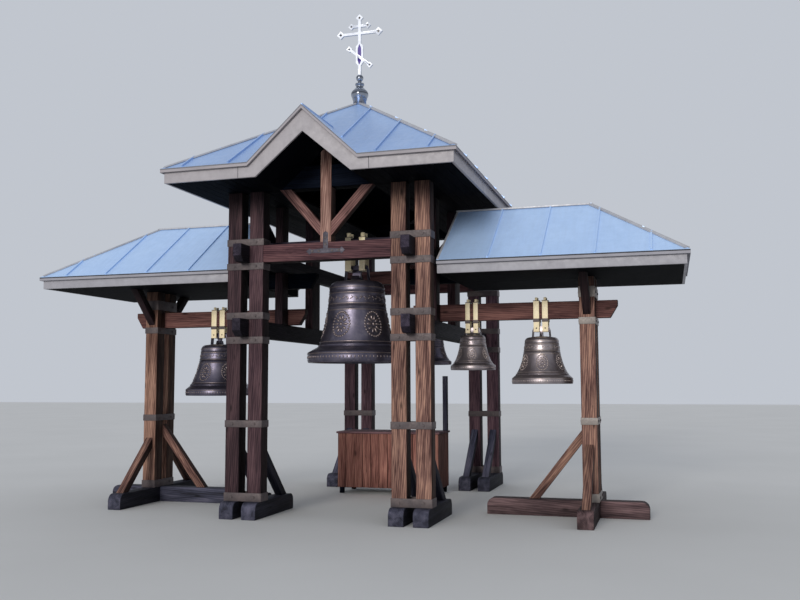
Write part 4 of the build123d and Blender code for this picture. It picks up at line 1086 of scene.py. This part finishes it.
class Relief:
    """Raised ornament on the outer skin of one bell, with every size a part of the lip's radius."""

    def __init__(self, bm):
        low, high = corners(bm.verts)
        self.axis = Vector(((low.x + high.x) / 2, (low.y + high.y) / 2, low.z))
        self.radius = (high.x - low.x) / 2
        self.height = (self.shoulder_z(bm) - low.z) / SHOULDER_LEVEL
        self.skin = BVHTree.FromBMesh(bm)
        self.mesh = bmesh.new()

    def shoulder_z(self, bm):
        """Highest point of the bell beside its crown."""
        limit = CROWN_REACH * self.radius
        shell = [v.co.z for v in bm.verts if math.hypot(v.co.x - self.axis.x, v.co.y - self.axis.y) > limit]
        return max(shell)

    def centre(self, level):
        """Point on the axis at a level."""
        return self.axis + Vector((0, 0, level * self.height))

    def touch(self, centre, turn):
        """Point and normal of the skin, seen from outside at a turn about the axis."""
        outward = Vector((math.cos(turn), math.sin(turn), 0))
        return self.skin.ray_cast(centre + outward * RAY_START, -outward)[:2]

    def add_boss(self, centre, turn, size, offset=(0, 0), lean=0.0):
        """A low oval boss, at an offset along the skin and upwards from a turn about the axis."""
        reach = (self.touch(centre, turn)[0] - centre).length
        raised = centre + Vector((0, 0, offset[1] * self.radius))
        place, normal = self.touch(raised, turn + offset[0] * self.radius / reach)
        basis = normal.to_track_quat("Z", "Y").to_matrix().to_4x4()
        width, depth, rise = (part * self.radius for part in size)
        shape = Matrix.Rotation(lean, 4, "Z") @ Matrix.Diagonal((width / 2, depth / 2, rise, 1))
        add_dome(self.mesh, Matrix.Translation(place) @ basis @ shape)

    def add_lines(self):
        for level in LINE_LEVELS:
            centre = self.centre(level)
            reach = (self.touch(centre, 0.0)[0] - centre).length
            add_hoop(self.mesh, centre, reach, LINE_RISE * self.radius)

    def add_bow_beads(self):
        for index in range(BOW_BEADS):
            self.add_boss(self.centre(BOW_LEVEL), 2 * math.pi * index / BOW_BEADS, BOW_BEAD_SIZE)

    def add_frieze(self):
        """Leaves that lean to and fro, with a berry over or under each."""
        centre = self.centre(FRIEZE_LEVEL)
        for index in range(FRIEZE_LEAVES):
            turn = 2 * math.pi * index / FRIEZE_LEAVES
            side = 1 if index % 2 else -1
            self.add_boss(centre, turn, LEAF_SIZE, lean=side * LEAF_LEAN)
            self.add_boss(centre, turn, BERRY_SIZE, (0, side * BERRY_RISE))

    def add_rosette(self, turn):
        """Petals about a boss, inside an oval rim of beads."""
        centre = self.centre(PANEL_LEVEL)
        self.add_boss(centre, turn, CENTRE_SIZE)
        for index in range(PETALS):
            lean = 2 * math.pi * index / PETALS
            self.add_boss(centre, turn, PETAL_SIZE, on_oval(PETAL_REACH, lean), lean)
        for index in range(RIM_BEADS):
            lean = 2 * math.pi * index / RIM_BEADS
            self.add_boss(centre, turn, RIM_BEAD_SIZE, on_oval(RIM_REACH, lean))


def on_oval(reach, angle):
    return reach[0] * math.cos(angle), reach[1] * math.sin(angle)


def dress_bell(node, material, relief_material, first_panel):
    """A smooth copy of a bell with relief on its skin, in place of its own pictures and words."""
    bm = clean_copy(node, curved=True)
    relief = Relief(bm)
    relief.add_lines()
    relief.add_bow_beads()
    relief.add_frieze()
    for index in range(PANELS):
        relief.add_rosette(math.radians(first_panel) + 2 * math.pi * index / PANELS)
    add_object(node + "_relief", relief.mesh, relief_material, 60)
    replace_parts(add_object(node + "_cast", bm, material, 30), node)


# Bells and clappers

dress_bell("big_bell", BRONZE, RELIEF_BRONZE, first_panel=-100)
dress_bell("rear_bell", BRONZE, RELIEF_BRONZE, first_panel=-82)
dress_bell("left_bell", BRONZE, RELIEF_BRONZE, first_panel=-40)
dress_bell("small_right_bell", SUNLIT_BRONZE, SUNLIT_RELIEF, first_panel=-82)
dress_bell("medium_right_bell", SUNLIT_BRONZE, SUNLIT_RELIEF, first_panel=-82)

clapper_mesh = clean_copy("bell_clappers", curved=True)
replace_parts(add_object("bell_clappers_forged", clapper_mesh, CLAPPER_IRON), "bell_clappers")


# Hangers

def add_clamps(bm, low, high, beam_z):
    """A clamp and a pin on both faces of a strap, under its beam."""
    middle_x = (low.x + high.x) / 2
    top = beam_z + CLAMP_LAP
    for face, side in ((low.y, -1), (high.y, 1)):
        back, front = sorted((face, face + side * CLAMP_THICKNESS))
        corner = (low.x - CLAMP_MARGIN, back, top - CLAMP_HEIGHT)
        add_box(bm, corner, (high.x + CLAMP_MARGIN, front, top))
        foot = (middle_x, face, low.z + PIN_OVER_FOOT)
        add_bolt(bm, foot, (0, side, 0), PIN_RADIUS, PIN_RADIUS, PIN_SIDES)


def add_washer(bm, low, high, beam_z):
    """The dark washer under the nuts of a strap, over its beam."""
    base = beam_z + STRAP_TOP
    corner = (low.x - WASHER_MARGIN, low.y + WASHER_INSET, base)
    add_box(bm, corner, (high.x + WASHER_MARGIN, high.y - WASHER_INSET, base + WASHER_THICKNESS))


def fit_hangers(node, beam, clamped):
    """Gold straps with dark washers under the nuts and, where clamped, clamps and pins."""
    dress(node, GILT_PAINT, HANGER_EDGE)
    beam_low, beam_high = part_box(beam)
    iron = bmesh.new()
    source = clean_copy(node)
    for group in islands(source):
        low, high = corners(group)
        if clamped:
            add_clamps(iron, low, high, beam_low.z)
        add_washer(iron, low, high, beam_high.z)
    source.free()
    soften(iron, STRAP_EDGE, 1)
    add_object(node + "_clamps", iron, STRAP_IRON)


fit_hangers("big_bell_hangers", "big_bell_beam", clamped=False)
fit_hangers("rear_bell_hangers", "rear_bell_beam", clamped=False)
fit_hangers("wing_bell_hangers", "wing_bell_beams", clamped=True)


# Finial and cross

finial_mesh = clean_copy("onion_finial", curved=True)
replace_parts(add_object("onion_finial_polished", finial_mesh, POLISHED, 30), "onion_finial")


def dress_cross():
    """White cross whose recesses are filled with violet enamel in the middle and dark stones at the ends."""
    bm = clean_copy("cross")
    low, high = corners(bm.verts)
    floor_y = (high.y - low.y) / 2 - INLAY_DEPTH
    middle_y = (high.y + low.y) / 2
    for face in bm.faces:
        offset = abs(face.calc_center_median().y - middle_y)
        if abs(face.normal.y) > FACING and abs(offset - floor_y) < PLACE_ERROR:
            face_low, face_high = corners(face.verts)
            extent = face_high - face_low
            face.material_index = 2 if abs(extent.z - extent.x) < SQUARE_ERROR else 1
    piece = add_object("cross_enamelled", bm, WHITE_ENAMEL)
    piece.data.materials.append(VIOLET_ENAMEL)
    piece.data.materials.append(DARK_STONE)
    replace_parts(piece, "cross")


dress_cross()


# Floor, light and camera

def link(name, data):
    thing = bpy.data.objects.new(name, data)
    bpy.context.scene.collection.objects.link(thing)
    return thing


def lay_floor():
    grid = bmesh.new()
    bmesh.ops.create_grid(grid, x_segments=1, y_segments=1, size=STAGE_REACH)
    mesh = bpy.data.meshes.new("studio_floor")
    grid.to_mesh(mesh)
    grid.free()
    shader = Shader("studio_floor", roughness=0.9)
    tone = shader.noise(shader.place(), 0.4, 2.0)
    color = shader.ramp(tone, [(0.3, (0.60, 0.60, 0.59)), (0.7, (0.63, 0.63, 0.62))])
    mesh.materials.append(shader.finish(color))
    floor = link("studio_floor", mesh)


def light_studio():
    world = bpy.data.worlds.new("studio")
    world.use_nodes = True
    background = world.node_tree.nodes["Background"]
    background.inputs["Color"].default_value = SKY_COLOR
    background.inputs["Strength"].default_value = SKY_POWER
    bpy.context.scene.world = world
    light = bpy.data.lights.new("key_light", "SUN")
    light.energy = SUN_POWER
    light.angle = math.radians(SUN_SPREAD)
    light.color = SUN_COLOR
    sun = link("key_light", light)
    sun.rotation_euler = Vector(SUN_FROM).to_track_quat("Z", "Y").to_euler()


def set_camera():
    data = bpy.data.cameras.new("camera")
    data.sensor_width = SENSOR_WIDTH
    data.sensor_fit = "HORIZONTAL"
    data.lens = FOCAL_PIXELS * SENSOR_WIDTH / IMAGE_WIDTH
    data.clip_end = CAMERA_REACH
    camera = link("camera", data)
    forward = Vector(CAMERA_FORWARD).normalized()
    right = Vector(CAMERA_RIGHT).normalized()
    basis = Matrix((right, right.cross(forward), -forward)).transposed().to_4x4()
    camera.matrix_world = Matrix.Translation(CAMERA_PLACE) @ basis
    bpy.context.scene.camera = camera


lay_floor()
light_studio()
set_camera()
bpy.context.scene.view_settings.view_transform = "Standard"
